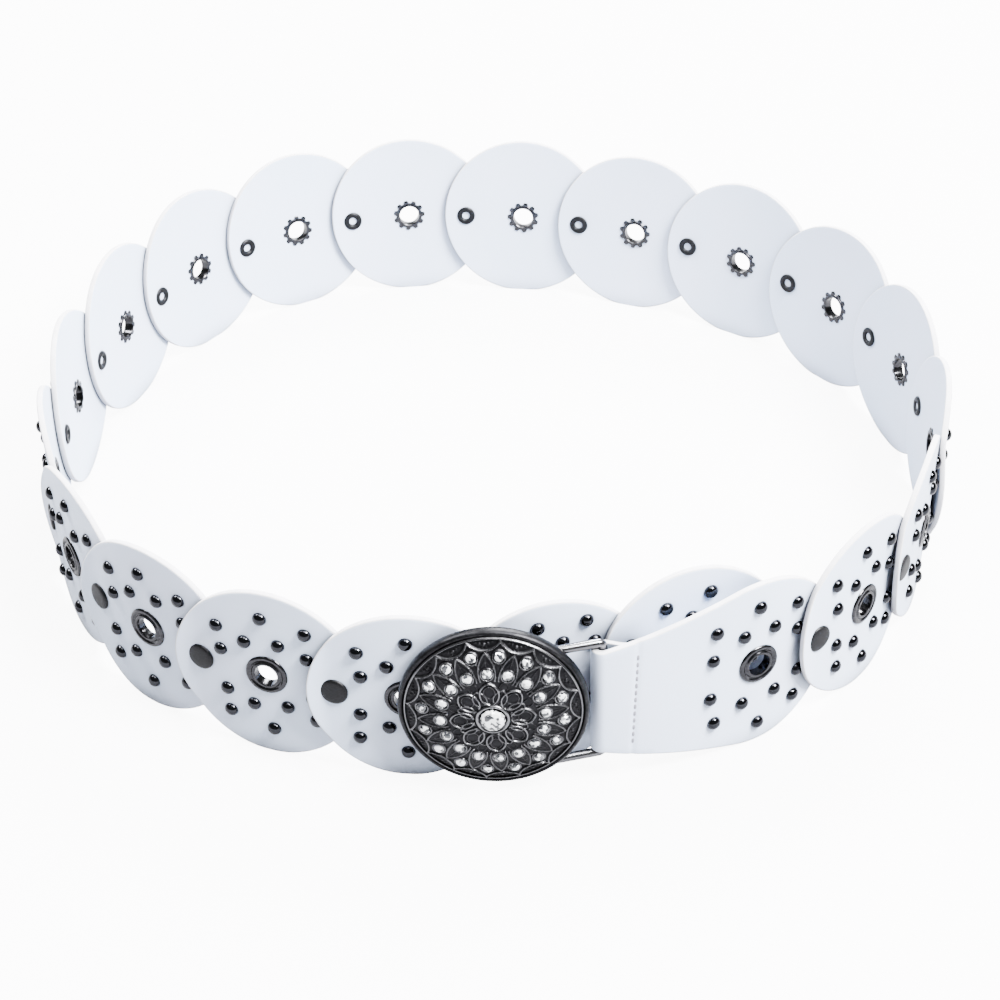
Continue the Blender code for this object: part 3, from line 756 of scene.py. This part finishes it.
def washer_shape():
    """A flat ring with blunt teeth. Heights are in the leather's direction, below its back."""

    def toothed(radius, angle):
        wave = 0.5 + 0.5 * np.cos(WASHER_TEETH * angle)
        tooth = eased((wave - 0.3) / 0.35)
        reach = WASHER_VALLEY_SHARE + (1 - WASHER_VALLEY_SHARE) * tooth
        outer = radius > 0.5 * WASHER_BORE_SHARE
        return np.where(outer, radius * reach, radius)

    section = [
        (0.5 * WASHER_BORE_SHARE, 0.1),
        (0.5 * WASHER_BORE_SHARE, -1.0),
        (0.45, -1.0),
        (0.485, -0.85),
        (0.5, -0.5),
        (0.5, 0.1),
    ]
    return lathe("washer", section, WASHER_TEETH * WASHER_TOOTH_SEGMENTS, radius_at=toothed)


FITTINGS = fittings_tree()
handling_marks = handling_marks_group()
black_nickel = plated_material(
    "black_nickel", (0.028, 0.028, 0.031), (0.07, 0.07, 0.075), 0.14, 0.28, 0.0015
)
set_fittings(
    "eyelets",
    lathe("eyelet", millimetre_section(EYELET_SECTION, EYELET_RING_DIAMETER), EYELET_SEGMENTS),
    [seat_at(disc_put(number), 0.0, 0.0, 0.0) for number in ROUNDS],
    black_nickel,
    {"Diameter": EYELET_RING_DIAMETER, "Height": MILLIMETRE},
)
set_fittings(
    "eyelet_washers",
    washer_shape(),
    [seat_at(disc_put(number), 0.0, 0.0, -HALF_LEATHER) for number in ROUNDS],
    black_nickel,
    {"Diameter": WASHER_DIAMETER, "Height": WASHER_THICKNESS, "Turn Spread": math.pi, "Seed": 3},
)

# Rivets: tubular steel rivets with a bead-blasted dark cap, each set through two rounds. Outside
# the cap is almost flat. Inside, the tube's end is rolled outward and leaves a dark hollow.
RIVET_CAP_DIAMETER = 0.009
RIVET_SEGMENTS = 36
# Radius and height in millimetres.
RIVET_SECTION = (
    (0.02, 3.04), (1.20, 3.03), (2.40, 2.98), (3.40, 2.88), (4.00, 2.72), (4.36, 2.48),
    (4.50, 2.15), (4.42, 1.92), (1.75, 1.90), (1.75, -1.90), (3.20, -1.92), (3.40, -2.12),
    (3.36, -2.46), (3.05, -2.74), (2.50, -2.84), (1.95, -2.74), (1.58, -2.48), (1.42, -2.10),
    (1.36, -1.40), (1.30, 0.80), (0.02, 1.00),
)


def rivet_put(number):
    middle = disc_place(number) - HALF_PITCH

    def put(u, v, w):
        s = middle + u
        if number > LOOP_DISCS:
            s, v = lifted(s, v)
        return place(s, v, w)

    return put


blasted_steel = plated_material(
    "blasted_steel", (0.015, 0.015, 0.016), (0.030, 0.030, 0.032), 0.40, 0.55, 0.0008
)
rivet_section = millimetre_section(RIVET_SECTION, RIVET_CAP_DIAMETER)
set_fittings(
    "rivets",
    lathe("rivet", rivet_section, RIVET_SEGMENTS, capped=True),
    [seat_at(rivet_put(number), 0.0, 0.0, 0.0) for number in ROUNDS[1:]],
    blasted_steel,
    {"Diameter": RIVET_CAP_DIAMETER, "Height": MILLIMETRE, "Turn Spread": math.pi, "Seed": 5},
    [f"rivet_{number:02d}" for number in ROUNDS[1:]],
)

# Studs: fourteen pressed domes of polished gunmetal on the outer face of each round, set by hand
# in one pattern about the eyelet. Their prongs are hidden in the leather.
STUD_DIAMETER = 0.0046
STUD_HEIGHT = 0.0018
STUD_SEGMENTS = 16
STUD_RINGS = 5
STUD_TURN_SPREAD = 1.2
STUD_SPOT_SPREAD = 0.0003
TAB_STUD_RISE = 1.07
# Discs whose pattern is turned, in degrees, and shifted.
STUD_TURNS = {16: (4.0, 0.0), 17: (6.5, 0.0), 19: (14.0, 0.002), 20: (22.0, 0.0)}
STUD_SPOTS = [
    (side * across, level * up)
    for across, up in ((0.0142, 0.0072), (0.0142, 0.0160), (0.0055, 0.0116))
    for side in (-1, 1)
    for level in (-1, 1)
]
STUD_SPOTS += [(0.0, -0.0206), (0.0, 0.0206)]
# How far each stud of the tab stands off the pattern.
TAB_STUD_SHIFTS = MILLIMETRE * np.array([
    (-3.1, 1.6), (-1.2, -0.6), (0.3, -2.4), (0.2, -1.0), (-1.7, 0.5), (0.4, 0.6), (-1.2, -2.0),
    (0.3, -0.8), (-1.0, -0.6), (0.3, 0.3), (0.6, -0.5), (0.5, 0.0), (0.0, -1.0), (1.0, -0.8),
])

gunmetal = plated_material(
    "gunmetal", (0.024, 0.025, 0.029), (0.042, 0.043, 0.048), 0.07, 0.15, 0.002
)
dome_turns = np.linspace(0.0, math.pi / 2, STUD_RINGS + 1)
stud_section = [(max(0.5 * math.sin(turn), 0.01), math.cos(turn)) for turn in dome_turns]
stud_section += [(0.5, -0.12), (0.01, -0.12)]


def stud_seats():
    """The pattern on every round, set by hand: least evenly on the tab, and turned on some discs."""
    uneven = np.random.default_rng(6)
    seats = []
    for number in ROUNDS:
        turn, shift = STUD_TURNS.get(number, (uneven.normal(0.0, STUD_TURN_SPREAD), 0.0))
        turn = math.radians(turn)
        rise = TAB_STUD_RISE if number == 0 else 1.0
        moved = TAB_STUD_SHIFTS * (number == 0)
        for (spot_u, spot_v), more in zip(STUD_SPOTS, moved):
            off_u, off_v = uneven.normal(shift, STUD_SPOT_SPREAD, 2) + more
            u = spot_u * math.cos(turn) - spot_v * math.sin(turn) + off_u
            v = (spot_u * math.sin(turn) + spot_v * math.cos(turn)) * rise + off_v
            seats.append(seat_at(disc_put(number), u, v, HALF_LEATHER))
    return seats


set_fittings(
    "studs",
    lathe("stud", stud_section, STUD_SEGMENTS, capped=True),
    stud_seats(),
    gunmetal,
    {"Diameter": STUD_DIAMETER, "Height": STUD_HEIGHT, "Size Spread": 0.04, "Seed": 11},
)

# Stitches: one upright row of waxed thread that closes the strap's fold, seen on the outer face
# and again on the flap inside.
STITCH_PITCH = 0.0026
STITCH_LENGTH = 0.0021
STITCH_HEIGHT = 0.00042
STITCH_WIDTH_SHARE = 0.34
STITCH_SINK = 0.0001
STITCH_COUNT = 13


def stitch_shape():
    """A short thread lying along X, in shares of its length and height."""
    profile = [(0.01, 0.5), (0.5, 0.42), (0.72, 0.25), (0.78, 0.0)]
    profile += [(radius, -end) for radius, end in profile[2::-1]]
    mesh = lathe("stitch", profile, 8, capped=True)
    for vertex in mesh.vertices:
        x, y, z = vertex.co
        vertex.co = (z, y * STITCH_WIDTH_SHARE, x)
    turn_faces_out(mesh)
    return mesh


def thread_material():
    material, tree, shader = new_material("waxed_thread")
    fuzz = use_group(tree, mottle, {"Patch Size": 0.0008, "Contrast": 1.5})
    colour = blend(tree, fuzz, (0.13, 0.13, 0.16), (0.28, 0.28, 0.34))
    feed(tree, shader, {"Base Color": colour, "Roughness": 0.75})
    return material


def stitch_seats():
    seats = []
    back_row = -2 * BAR_TO_TAB - FOLD_LENGTH - STITCH_ROW
    for row, slant in ((STITCH_ROW, STITCH_SLANT), (back_row, -STITCH_SLANT)):
        for k in range(STITCH_COUNT):
            v = (k - (STITCH_COUNT - 1) / 2) * STITCH_PITCH
            point, outward, along = seat_at(on_tab, row + slant * v, v, HALF_LEATHER - STITCH_SINK)
            seats.append((point, outward, np.cross(outward, along)))
    return seats


set_fittings(
    "stitches",
    stitch_shape(),
    stitch_seats(),
    thread_material(),
    {"Diameter": STITCH_LENGTH, "Height": STITCH_HEIGHT, "Size Spread": 0.1, "Seed": 2},
)

# Buckle plate: a domed round casting in antique black nickel, hollow behind. Inside a double rim
# hang sixteen scallops. Pointed petals ring the inner stones and flowers ring the middle one.
PLATE_RADIUS = 0.0286
PLATE_THICKNESS = 0.002
PLATE_RELIEF = 0.0009
PLATE_DOME = 0.0056
PLATE_DOME_POWER = 2.4
PLATE_FLAT_RIM = 0.78
PLATE_STANDOFF = 0.0024
PLATE_RISE = 0.0015
PLATE_TURN = math.radians(-5.2)
PLATE_SEGMENTS = 576
STONES_IN_RING = 16
STONE_PITCH = 2 * math.pi / STONES_IN_RING
OUTER_STONES = 0.742
INNER_STONES = 0.549
STONE_RINGS = ((OUTER_STONES, 0.0), (INNER_STONES, 0.5))
PLATE_FIELD = 0.1
STONE_BED = 0.05
PLATE_RIM_FOOT = 0.943
PLATE_RIM_WEAR = 0.45
# From the rim to the hollow behind: share of the plate's radius, and of its thickness.
PLATE_BACK_SECTION = (
    (1.0, -0.35), (1.0, -0.8), (0.992, -0.93), (0.975, -1.0), (0.8, -1.0), (PLATE_FLAT_RIM, -0.97),
)
# In each scallop: how far across and how far out, half width, height.
SCALLOP_GRAINS = (
    (0.0, 0.862, 0.020, 0.55),
    (0.045, 0.872, 0.014, 0.45),
    (0.085, 0.884, 0.010, 0.40),
    (0.022, 0.832, 0.010, 0.40),
)
# Pointed leaves: turn in pitches of the stones, how many, half width, where they are widest and
# where their tip is, height and half width of the edge, where they start, height of the ground.
PLATE_LEAVES = (
    (0.5, 16, 0.056, 0.575, 0.700, 0.42, 0.0080, 0.57, 0.0),
    (0.0, 16, 0.052, 0.600, 0.685, 0.50, 0.0090, 0.50, 0.0),
    (0.5, 8, 0.100, 0.315, 0.445, 0.85, 0.0125, 0.19, 0.2),
    (0.5, 8, 0.060, 0.335, 0.405, 0.55, 0.0090, 0.19, 0.2),
    (-0.5, 8, 0.070, 0.275, 0.375, 0.70, 0.0110, 0.21, 0.0),
    (-0.5, 8, 0.045, 0.415, 0.475, 0.45, 0.0090, 0.38, 0.0),
)
SMALL_STONE_DIAMETER = 0.0032
CENTRE_STONE_DIAMETER = 0.0076


def on_plate(x, y, height):
    """World points at x right and y up on the plate's face, which leans as the leather does."""
    face = PLATE_STANDOFF + PLATE_THICKNESS + height
    points = stand(np.zeros_like(x), PLATE_RISE + y, face) + BELT_SHIFT
    points[..., 0] += x
    return points


def plate_dome(share):
    """How far the plate's field stands out over its rim, at a share of the plate's radius."""
    return PLATE_DOME * (1.0 - np.minimum(share, 1.0) ** PLATE_DOME_POWER)


def bead(distance, half_width):
    """A rounded ridge of height 1 where the distance is 0."""
    return np.sqrt(np.maximum(1.0 - (distance / half_width) ** 2, 0.0))


def sector(radius, angle, middle, count):
    """Folds the plate into one of count like sectors: x across and y out along its middle line."""
    width = 2 * math.pi / count
    local = np.mod(angle - middle + width / 2, width) - width / 2
    return np.abs(radius * np.sin(local)), radius * np.cos(local)


def arch(x, y, half_width, widest, tip):
    """Distance from a pointed arch, widest at one radius and closed at its tip."""
    rise = tip - widest
    bow = (half_width**2 + rise**2) / (2 * half_width)
    return np.hypot(x + bow - half_width, y - widest) - bow


def plate_relief(radius, angle):
    """The cast face's height as a share of the relief, for radius as a share of the plate's."""
    rims = np.maximum(0.95 * bead(radius - 0.974, 0.026), 0.80 * bead(radius - 0.926, 0.0135))
    height = np.maximum(PLATE_FIELD, rims)

    x, y = sector(radius, angle, PLATE_TURN + STONE_PITCH / 2, STONES_IN_RING)
    hang = np.hypot(x, y - 1.0352) - 0.2302
    grains = np.zeros_like(radius)
    for across, out, width, level in SCALLOP_GRAINS:
        grains = np.maximum(grains, level * bead(np.hypot(x - across, y - out), width))
    height = np.where((hang < 0) & (radius < 0.912), grains * (radius < 0.91), height)
    height = np.maximum(height, 0.78 * bead(hang, 0.0125) * (radius < 0.925))

    petal = arch(x, y, 0.088, 0.565, 0.785)
    height = np.where((petal < 0) & (y > 0.46), 0.26, height)
    height = np.maximum(height, 0.72 * bead(petal, 0.0115) * (y > 0.465))
    height = np.maximum(height, 0.5 * bead(x, 0.007) * (y > 0.625) * (y < 0.765))

    for turn, count, half_width, widest, tip, level, width, foot, fill in PLATE_LEAVES:
        x, y = sector(radius, angle, PLATE_TURN + turn * STONE_PITCH, count)
        edge = arch(x, y, half_width, widest, tip)
        height = np.maximum(height, fill * ((edge < 0) & (y > foot + 0.01)))
        height = np.maximum(height, level * bead(edge, width) * (y > foot))

    x, y = sector(radius, angle, 0.0, 16)
    grains = 0.6 * bead(np.hypot(x, y - 0.205), 0.019)
    height = np.maximum(height, np.maximum(bead(radius - 0.165, 0.020), grains))
    height = np.where(radius < 0.15, PLATE_FIELD, height)

    stone = SMALL_STONE_DIAMETER / 2 / PLATE_RADIUS
    for share, turn in STONE_RINGS:
        x, y = sector(radius, angle, PLATE_TURN + turn * STONE_PITCH, STONES_IN_RING)
        away = np.hypot(x, y - share)
        collar = 0.75 * bead(away - stone - 0.009, 0.013)
        height = np.where(away < stone + 0.022, collar, height)
        height = np.where(away < stone, STONE_BED, height)
    return height


def plate_material():
    """Black nickel left dark in the hollows and rubbed bright on whatever stands up."""
    material, tree, shader = new_material("antique_nickel")
    raised = add_node(tree, "ShaderNodeAttribute", {}, attribute_name="raised").outputs["Fac"]
    marks = use_group(tree, handling_marks, {"Mark Size": 0.0012})
    dirt = use_group(tree, mottle, {"Patch Size": 0.003, "Contrast": 2.0})
    cast = use_group(tree, mottle, {"Patch Size": 0.0005, "Contrast": 1.0})
    worn = maths(tree, "MULTIPLY_ADD", marks, 0.25, raised)
    inputs = {0: worn, 1: 0.45, 2: 1.05}
    rubbed = add_node(tree, "ShaderNodeMapRange", inputs, interpolation_type="SMOOTHSTEP").outputs[0]
    hollow = blend(tree, dirt, (0.008, 0.008, 0.009), (0.022, 0.022, 0.024))
    bump = add_node(tree, "ShaderNodeBump", {"Strength": 0.5, "Distance": 0.00006, "Height": cast})
    looks = {
        "Base Color": blend(tree, rubbed, hollow, (0.19, 0.19, 0.20)),
        "Roughness": ramp(tree, rubbed, 0.40, 0.13),
        "Metallic": 1.0,
        "Normal": bump.outputs["Normal"],
    }
    feed(tree, shader, looks)
    return material


def add_plate(material):
    """The relief face, the rim and the hollow back as rings about the middle, closed at both ends."""
    radius = np.concatenate([[0.004], np.linspace(0.03, 0.15, 6), np.linspace(0.16, 1.0, 124)])
    angle = 2 * math.pi * np.arange(PLATE_SEGMENTS) / PLATE_SEGMENTS
    share, turn = np.meshgrid(radius, angle, indexing="ij")
    height = plate_relief(share, turn)
    rim_x, rim_y = PLATE_RADIUS * np.cos(angle), PLATE_RADIUS * np.sin(angle)
    front = on_plate(rim_x * share, rim_y * share, PLATE_RELIEF * height + plate_dome(share))
    back_section = [(r, level * PLATE_THICKNESS) for r, level in PLATE_BACK_SECTION]
    hollow = np.concatenate([np.linspace(PLATE_FLAT_RIM * 0.92, 0.05, 14), [0.01]])
    back_section += [(r, plate_dome(r) - PLATE_THICKNESS) for r in hollow]
    back = [on_plate(rim_x * r, rim_y * r, level) for r, level in back_section]
    mesh = mesh_from_rings("buckle_plate", np.concatenate([front, np.array(back)]))
    cap_ends(mesh, PLATE_SEGMENTS)
    worn = np.where(share > PLATE_RIM_FOOT, PLATE_RIM_WEAR * height, height)
    mark_points(mesh, "raised", np.concatenate([worn.ravel(), np.zeros(len(back) * PLATE_SEGMENTS)]))
    turn_faces_out(mesh)
    return add_piece(mesh, material, ["buckle"], 50.0)


add_plate(plate_material())

# Bail and hook: bright 2.8 mm steel wire soldered to the plate's back. The bail carries the
# strap's fold. The hook passes through the eyelet of the last round of the loop.
BAIL_FOOT_LENGTH = 0.020
HOOK_LENGTH = 0.008
EYELET_HOLE_RADIUS = 0.00365
WASHER_HEIGHT = 0.0007
WIRE_SIDES = 20
# How far past the route's end, and how wide, in wire radii.
WIRE_END = [(0.14, 0.85), (0.26, 0.5), (0.30, 0.05)]


def plate_point(x, y, height):
    return Vector(on_plate(np.array(x), np.array(y), np.array(height)))


def chain_spot(s, v, w):
    return Vector(stand(s, v, w) + BELT_SHIFT)


def rounded(points, radius, steps=8):
    """The route through points with each inner corner turned on an arc-like curve."""
    route = [points[0]]
    for before, corner, after in zip(points, points[1:], points[2:]):
        start = corner + (before - corner).normalized() * radius
        end = corner + (after - corner).normalized() * radius
        for k in range(steps + 1):
            share = k / steps
            route.append(start * (1 - share) ** 2 + corner * 2 * share * (1 - share) + end * share**2)
    return route + [points[-1]]


def add_wire(name, route, material):
    """A round wire along the route with rounded ends."""
    directions = [(after - point).normalized() for point, after in zip(route, route[1:])]
    directions.append(directions[-1])
    side = directions[0].orthogonal().normalized()
    turns = [2 * math.pi * step / WIRE_SIDES for step in range(WIRE_SIDES)]
    rings = []
    for k, (point, direction) in enumerate(zip(route, directions)):
        tangent = direction if k == 0 else (direction + directions[k - 1]).normalized()
        side = (side - tangent * side.dot(tangent)).normalized()
        other = tangent.cross(side)
        stations = [(0.0, 1.0)]
        if k == 0:
            stations = [(-shift, share) for shift, share in WIRE_END[::-1]] + stations
        if k == len(route) - 1:
            stations += WIRE_END
        for shift, share in stations:
            centre = point + tangent * shift * WIRE_RADIUS
            arms = [side * math.cos(turn) + other * math.sin(turn) for turn in turns]
            rings.append([tuple(centre + arm * WIRE_RADIUS * share) for arm in arms])
    mesh = mesh_from_rings(name, np.array(rings))
    cap_ends(mesh, WIRE_SIDES)
    turn_faces_out(mesh)
    return add_piece(mesh, material, sharp=60.0)


def bail_route():
    """From the plate's back above the strap, round the strap's fold and back to the plate."""
    reach = STRAP_HEIGHT / 2 + PIECE_GAP + WIRE_RADIUS
    top = chain_spot(PLATE_TO_BAR, reach, STRAP_STANDOFF - FOLD_RADIUS)
    bottom = chain_spot(PLATE_TO_BAR, -reach, STRAP_STANDOFF - FOLD_RADIUS)
    depth = -PLATE_THICKNESS - WIRE_RADIUS * 0.5
    foot_x = PLATE_TO_BAR - BAIL_FOOT_LENGTH
    foot_top = plate_point(foot_x, reach - PLATE_RISE, depth)
    foot_bottom = plate_point(foot_x, -reach - PLATE_RISE, depth)
    shoulder = Vector((BAIL_FOOT_LENGTH * 0.3, 0.0, 0.0))
    points = [foot_top, foot_top + shoulder, top, bottom, foot_bottom + shoulder, foot_bottom]
    return rounded(points, WIRE_RADIUS + PIECE_GAP)


def hook_route():
    """From the plate's back through the hooked round's eyelet, then along behind the leather."""
    s = HOOKED_PLACE + EYELET_HOLE_RADIUS - WIRE_RADIUS - 3 * PIECE_GAP
    behind = -(HALF_LEATHER + WASHER_HEIGHT + 2 * PIECE_GAP + WIRE_RADIUS)
    elbow, through = chain_spot(s, 0.0, behind), chain_spot(s, 0.0, 0.0)
    outward = (through - elbow).normalized()
    plate_middle = plate_point(0.0, -PLATE_RISE, -PLATE_THICKNESS / 2).y
    start = through + outward * ((plate_middle - through.y) / outward.y)
    return rounded([start, elbow, chain_spot(s + HOOK_LENGTH, 0.0, behind)], WIRE_RADIUS * 1.4)


wire = plated_material("nickel_wire", (0.10, 0.10, 0.11), (0.22, 0.22, 0.23), 0.14, 0.28, 0.0008)
add_wire("buckle_bail", bail_route(), wire)
add_wire("buckle_hook", hook_route(), wire)

# Stones: clear foil-backed glass, cut with a flat table and two rings of facets. Thirty-two small
# ones sit in collars on the plate and one large one sits in the middle.
SMALL_STONE_HEIGHT = 0.00115
CENTRE_STONE_HEIGHT = 0.0021
# From the table down: radius and height in shares, and whether the ring is half turned.
STONE_CUT = (
    (0.02, 1.0, 0), (0.27, 1.0, 0), (0.43, 0.72, 1), (0.5, 0.30, 0), (0.5, 0.12, 0), (0.02, 0.0, 0),
)
STONE_SHARP = 5.0


def cut_stone(name, sides):
    """A faceted stone in shares of its diameter and height. The rings marked in the cut are half
    turned.
    """
    rings = []
    for radius, height, half_turn in STONE_CUT:
        angle = 2 * math.pi * (np.arange(sides) + 0.5 * half_turn) / sides
        ring = [radius * np.cos(angle), radius * np.sin(angle), np.full(sides, height)]
        rings.append(np.stack(ring, axis=-1))
    points = np.concatenate(rings)
    faces = [tuple(range(sides)), tuple(range(len(points) - sides, len(points)))]
    for ring, (_, _, half_turn) in enumerate(STONE_CUT[:-1]):
        for k in range(sides):
            a, b = ring * sides + k, ring * sides + (k + 1) % sides
            c, d = a + sides, b + sides
            if STONE_CUT[ring + 1][2] == half_turn:
                faces.append((a, b, d, c))
            elif half_turn:
                faces += [(a, b, d), (a, d, c)]
            else:
                faces += [(a, b, c), (b, d, c)]
    mesh = new_mesh(name, points.tolist(), faces)
    turn_faces_out(mesh)
    return mesh


def crystal_material():
    """Painted reflections: random cells of the facets are painted white as flashes of light, and the
    rest stay dark.
    """
    material, tree, shader = new_material("foiled_crystal")
    inputs = {"Vector": object_spot(tree), "Scale": 950.0}
    cells = add_node(tree, "ShaderNodeTexVoronoi", inputs, feature="F1")
    flash = add_node(tree, "ShaderNodeSeparateColor", {0: cells.outputs["Color"]}).outputs[0]
    # Painted highlights: the cells that pass are painted near white as facet flashes, whatever the
    # lamps do.
    bright = ramp(tree, flash, 0.0, 1.0, 0.36, 0.46)
    looks = {
        "Base Color": blend(tree, bright, (0.035, 0.037, 0.042), (0.97, 0.98, 1.0)),
        "Metallic": 0.3,
        "Roughness": 0.05,
        "Coat Weight": 1.0,
        "Coat Roughness": 0.02,
    }
    feed(tree, shader, looks)
    return material


def plate_seat(share, angle, height):
    """A seat on the plate's face, at a share of its radius."""
    x, y = PLATE_RADIUS * share * math.cos(angle), PLATE_RADIUS * share * math.sin(angle)

    def put(u, v, w):
        away = math.hypot(x + u, y + v) / PLATE_RADIUS
        return on_plate(np.array(x + u), np.array(y + v), np.array(w + plate_dome(away)))

    return seat_at(put, 0.0, 0.0, height)


crystal = crystal_material()
small_seats = [
    plate_seat(share, PLATE_TURN + (k + turn) * STONE_PITCH, PLATE_RELIEF * STONE_BED)
    for share, turn in STONE_RINGS
    for k in range(STONES_IN_RING)
]
set_fittings(
    "small_stones",
    cut_stone("small_stone", 8),
    small_seats,
    crystal,
    {"Diameter": SMALL_STONE_DIAMETER, "Height": SMALL_STONE_HEIGHT, "Turn Spread": math.pi, "Seed": 7},
    sharp=STONE_SHARP,
)
set_fittings(
    "middle_stone",
    cut_stone("middle_stone", 12),
    [plate_seat(0.0, 0.0, PIECE_GAP)],
    crystal,
    {"Diameter": CENTRE_STONE_DIAMETER, "Height": CENTRE_STONE_HEIGHT, "Seed": 9},
    ["centre_stone"],
    STONE_SHARP,
)

# The studio: a pale floor, four softboxes of which the one at the front right is the strongest, and
# the camera at the photograph's viewing angle.
CAMERA_AZIMUTH = math.radians(2.137)
CAMERA_ELEVATION = math.radians(39.112)
CAMERA_ROLL = math.radians(-0.814)
CAMERA_DISTANCE = 0.8698
CAMERA_LENS = 89.83
CAMERA_TARGET = Vector(BELT_SHIFT) + Vector((0.0062, 0.0, -0.0022))
FLOOR_HALF = 4.0
FLOOR_GLOW = 9.0
WORLD_LIGHT = 0.3
LIGHT_TARGET = Vector((0.0, 0.0, 0.03))


def add_camera():
    azimuth, elevation = CAMERA_AZIMUTH, CAMERA_ELEVATION
    level = Vector((math.sin(azimuth), -math.cos(azimuth), 0.0))
    back = level * math.cos(elevation) + Vector((0.0, 0.0, math.sin(elevation)))
    right = (-back).cross(Vector((0, 0, 1))).normalized()
    up = right.cross(-back)
    rolled_right = right * math.cos(CAMERA_ROLL) + up * math.sin(CAMERA_ROLL)
    rolled_up = up * math.cos(CAMERA_ROLL) - right * math.sin(CAMERA_ROLL)
    data = bpy.data.cameras.new("camera")
    data.lens = CAMERA_LENS
    data.sensor_width = 36.0
    data.clip_start = 0.01
    camera = new_object("camera", data)
    camera.matrix_world = Matrix((rolled_right, rolled_up, back)).transposed().to_4x4()
    camera.location = CAMERA_TARGET + back * CAMERA_DISTANCE
    bpy.context.scene.camera = camera


def add_softbox(name, spot, size, power):
    data = bpy.data.lights.new(name, "AREA")
    data.size = size
    data.energy = power
    light = new_object(name, data)
    light.location = spot
    light.rotation_euler = (LIGHT_TARGET - Vector(spot)).to_track_quat("-Z", "Y").to_euler()


def add_floor():
    """A grey sweep that the camera sees glow, as on a light table, so that it stays near white."""
    material, tree, shader = new_material("pale_floor")
    patches = use_group(tree, mottle, {"Patch Size": 0.4, "Contrast": 0.5})
    seen = tree.nodes.new("ShaderNodeLightPath").outputs["Is Camera Ray"]
    looks = {
        "Base Color": blend(tree, patches, (0.26, 0.26, 0.27), (0.29, 0.29, 0.30)),
        "Roughness": 0.8,
        "Specular IOR Level": 0.1,
        "Emission Color": (1.0, 1.0, 1.0, 1.0),
        "Emission Strength": maths(tree, "MULTIPLY", seen, FLOOR_GLOW),
    }
    feed(tree, shader, looks)
    corners = [(-1, -1), (1, -1), (1, 1), (-1, 1)]
    points = [(x * FLOOR_HALF, y * FLOOR_HALF, 0.0) for x, y in corners]
    mesh = new_mesh("floor", points, [(0, 1, 2, 3)])
    mesh.materials.append(material)
    new_object("floor", mesh)


def add_world():
    """Grey to what it lights and what reflects it, and near white behind the floor."""
    world = bpy.data.worlds.new("studio")
    world.use_nodes = True
    tree = world.node_tree
    seen = tree.nodes.new("ShaderNodeLightPath").outputs["Is Camera Ray"]
    strength = mixed(tree, seen, WORLD_LIGHT, FLOOR_GLOW)
    sky = {"Color": (0.94, 0.97, 1.0, 1.0), "Strength": strength}
    feed(tree, tree.nodes["Background"], sky)
    bpy.context.scene.world = world


add_camera()
add_floor()
add_world()
add_softbox("top_softbox", (0.1, -0.15, 1.6), 0.9, 42.0)
add_softbox("key_softbox", (0.95, -0.4, 1.5), 0.7, 285.0)
add_softbox("left_softbox", (-0.9, 0.45, 1.2), 0.5, 65.0)
add_softbox("rear_softbox", (0.3, 1.3, 1.2), 0.6, 165.0)
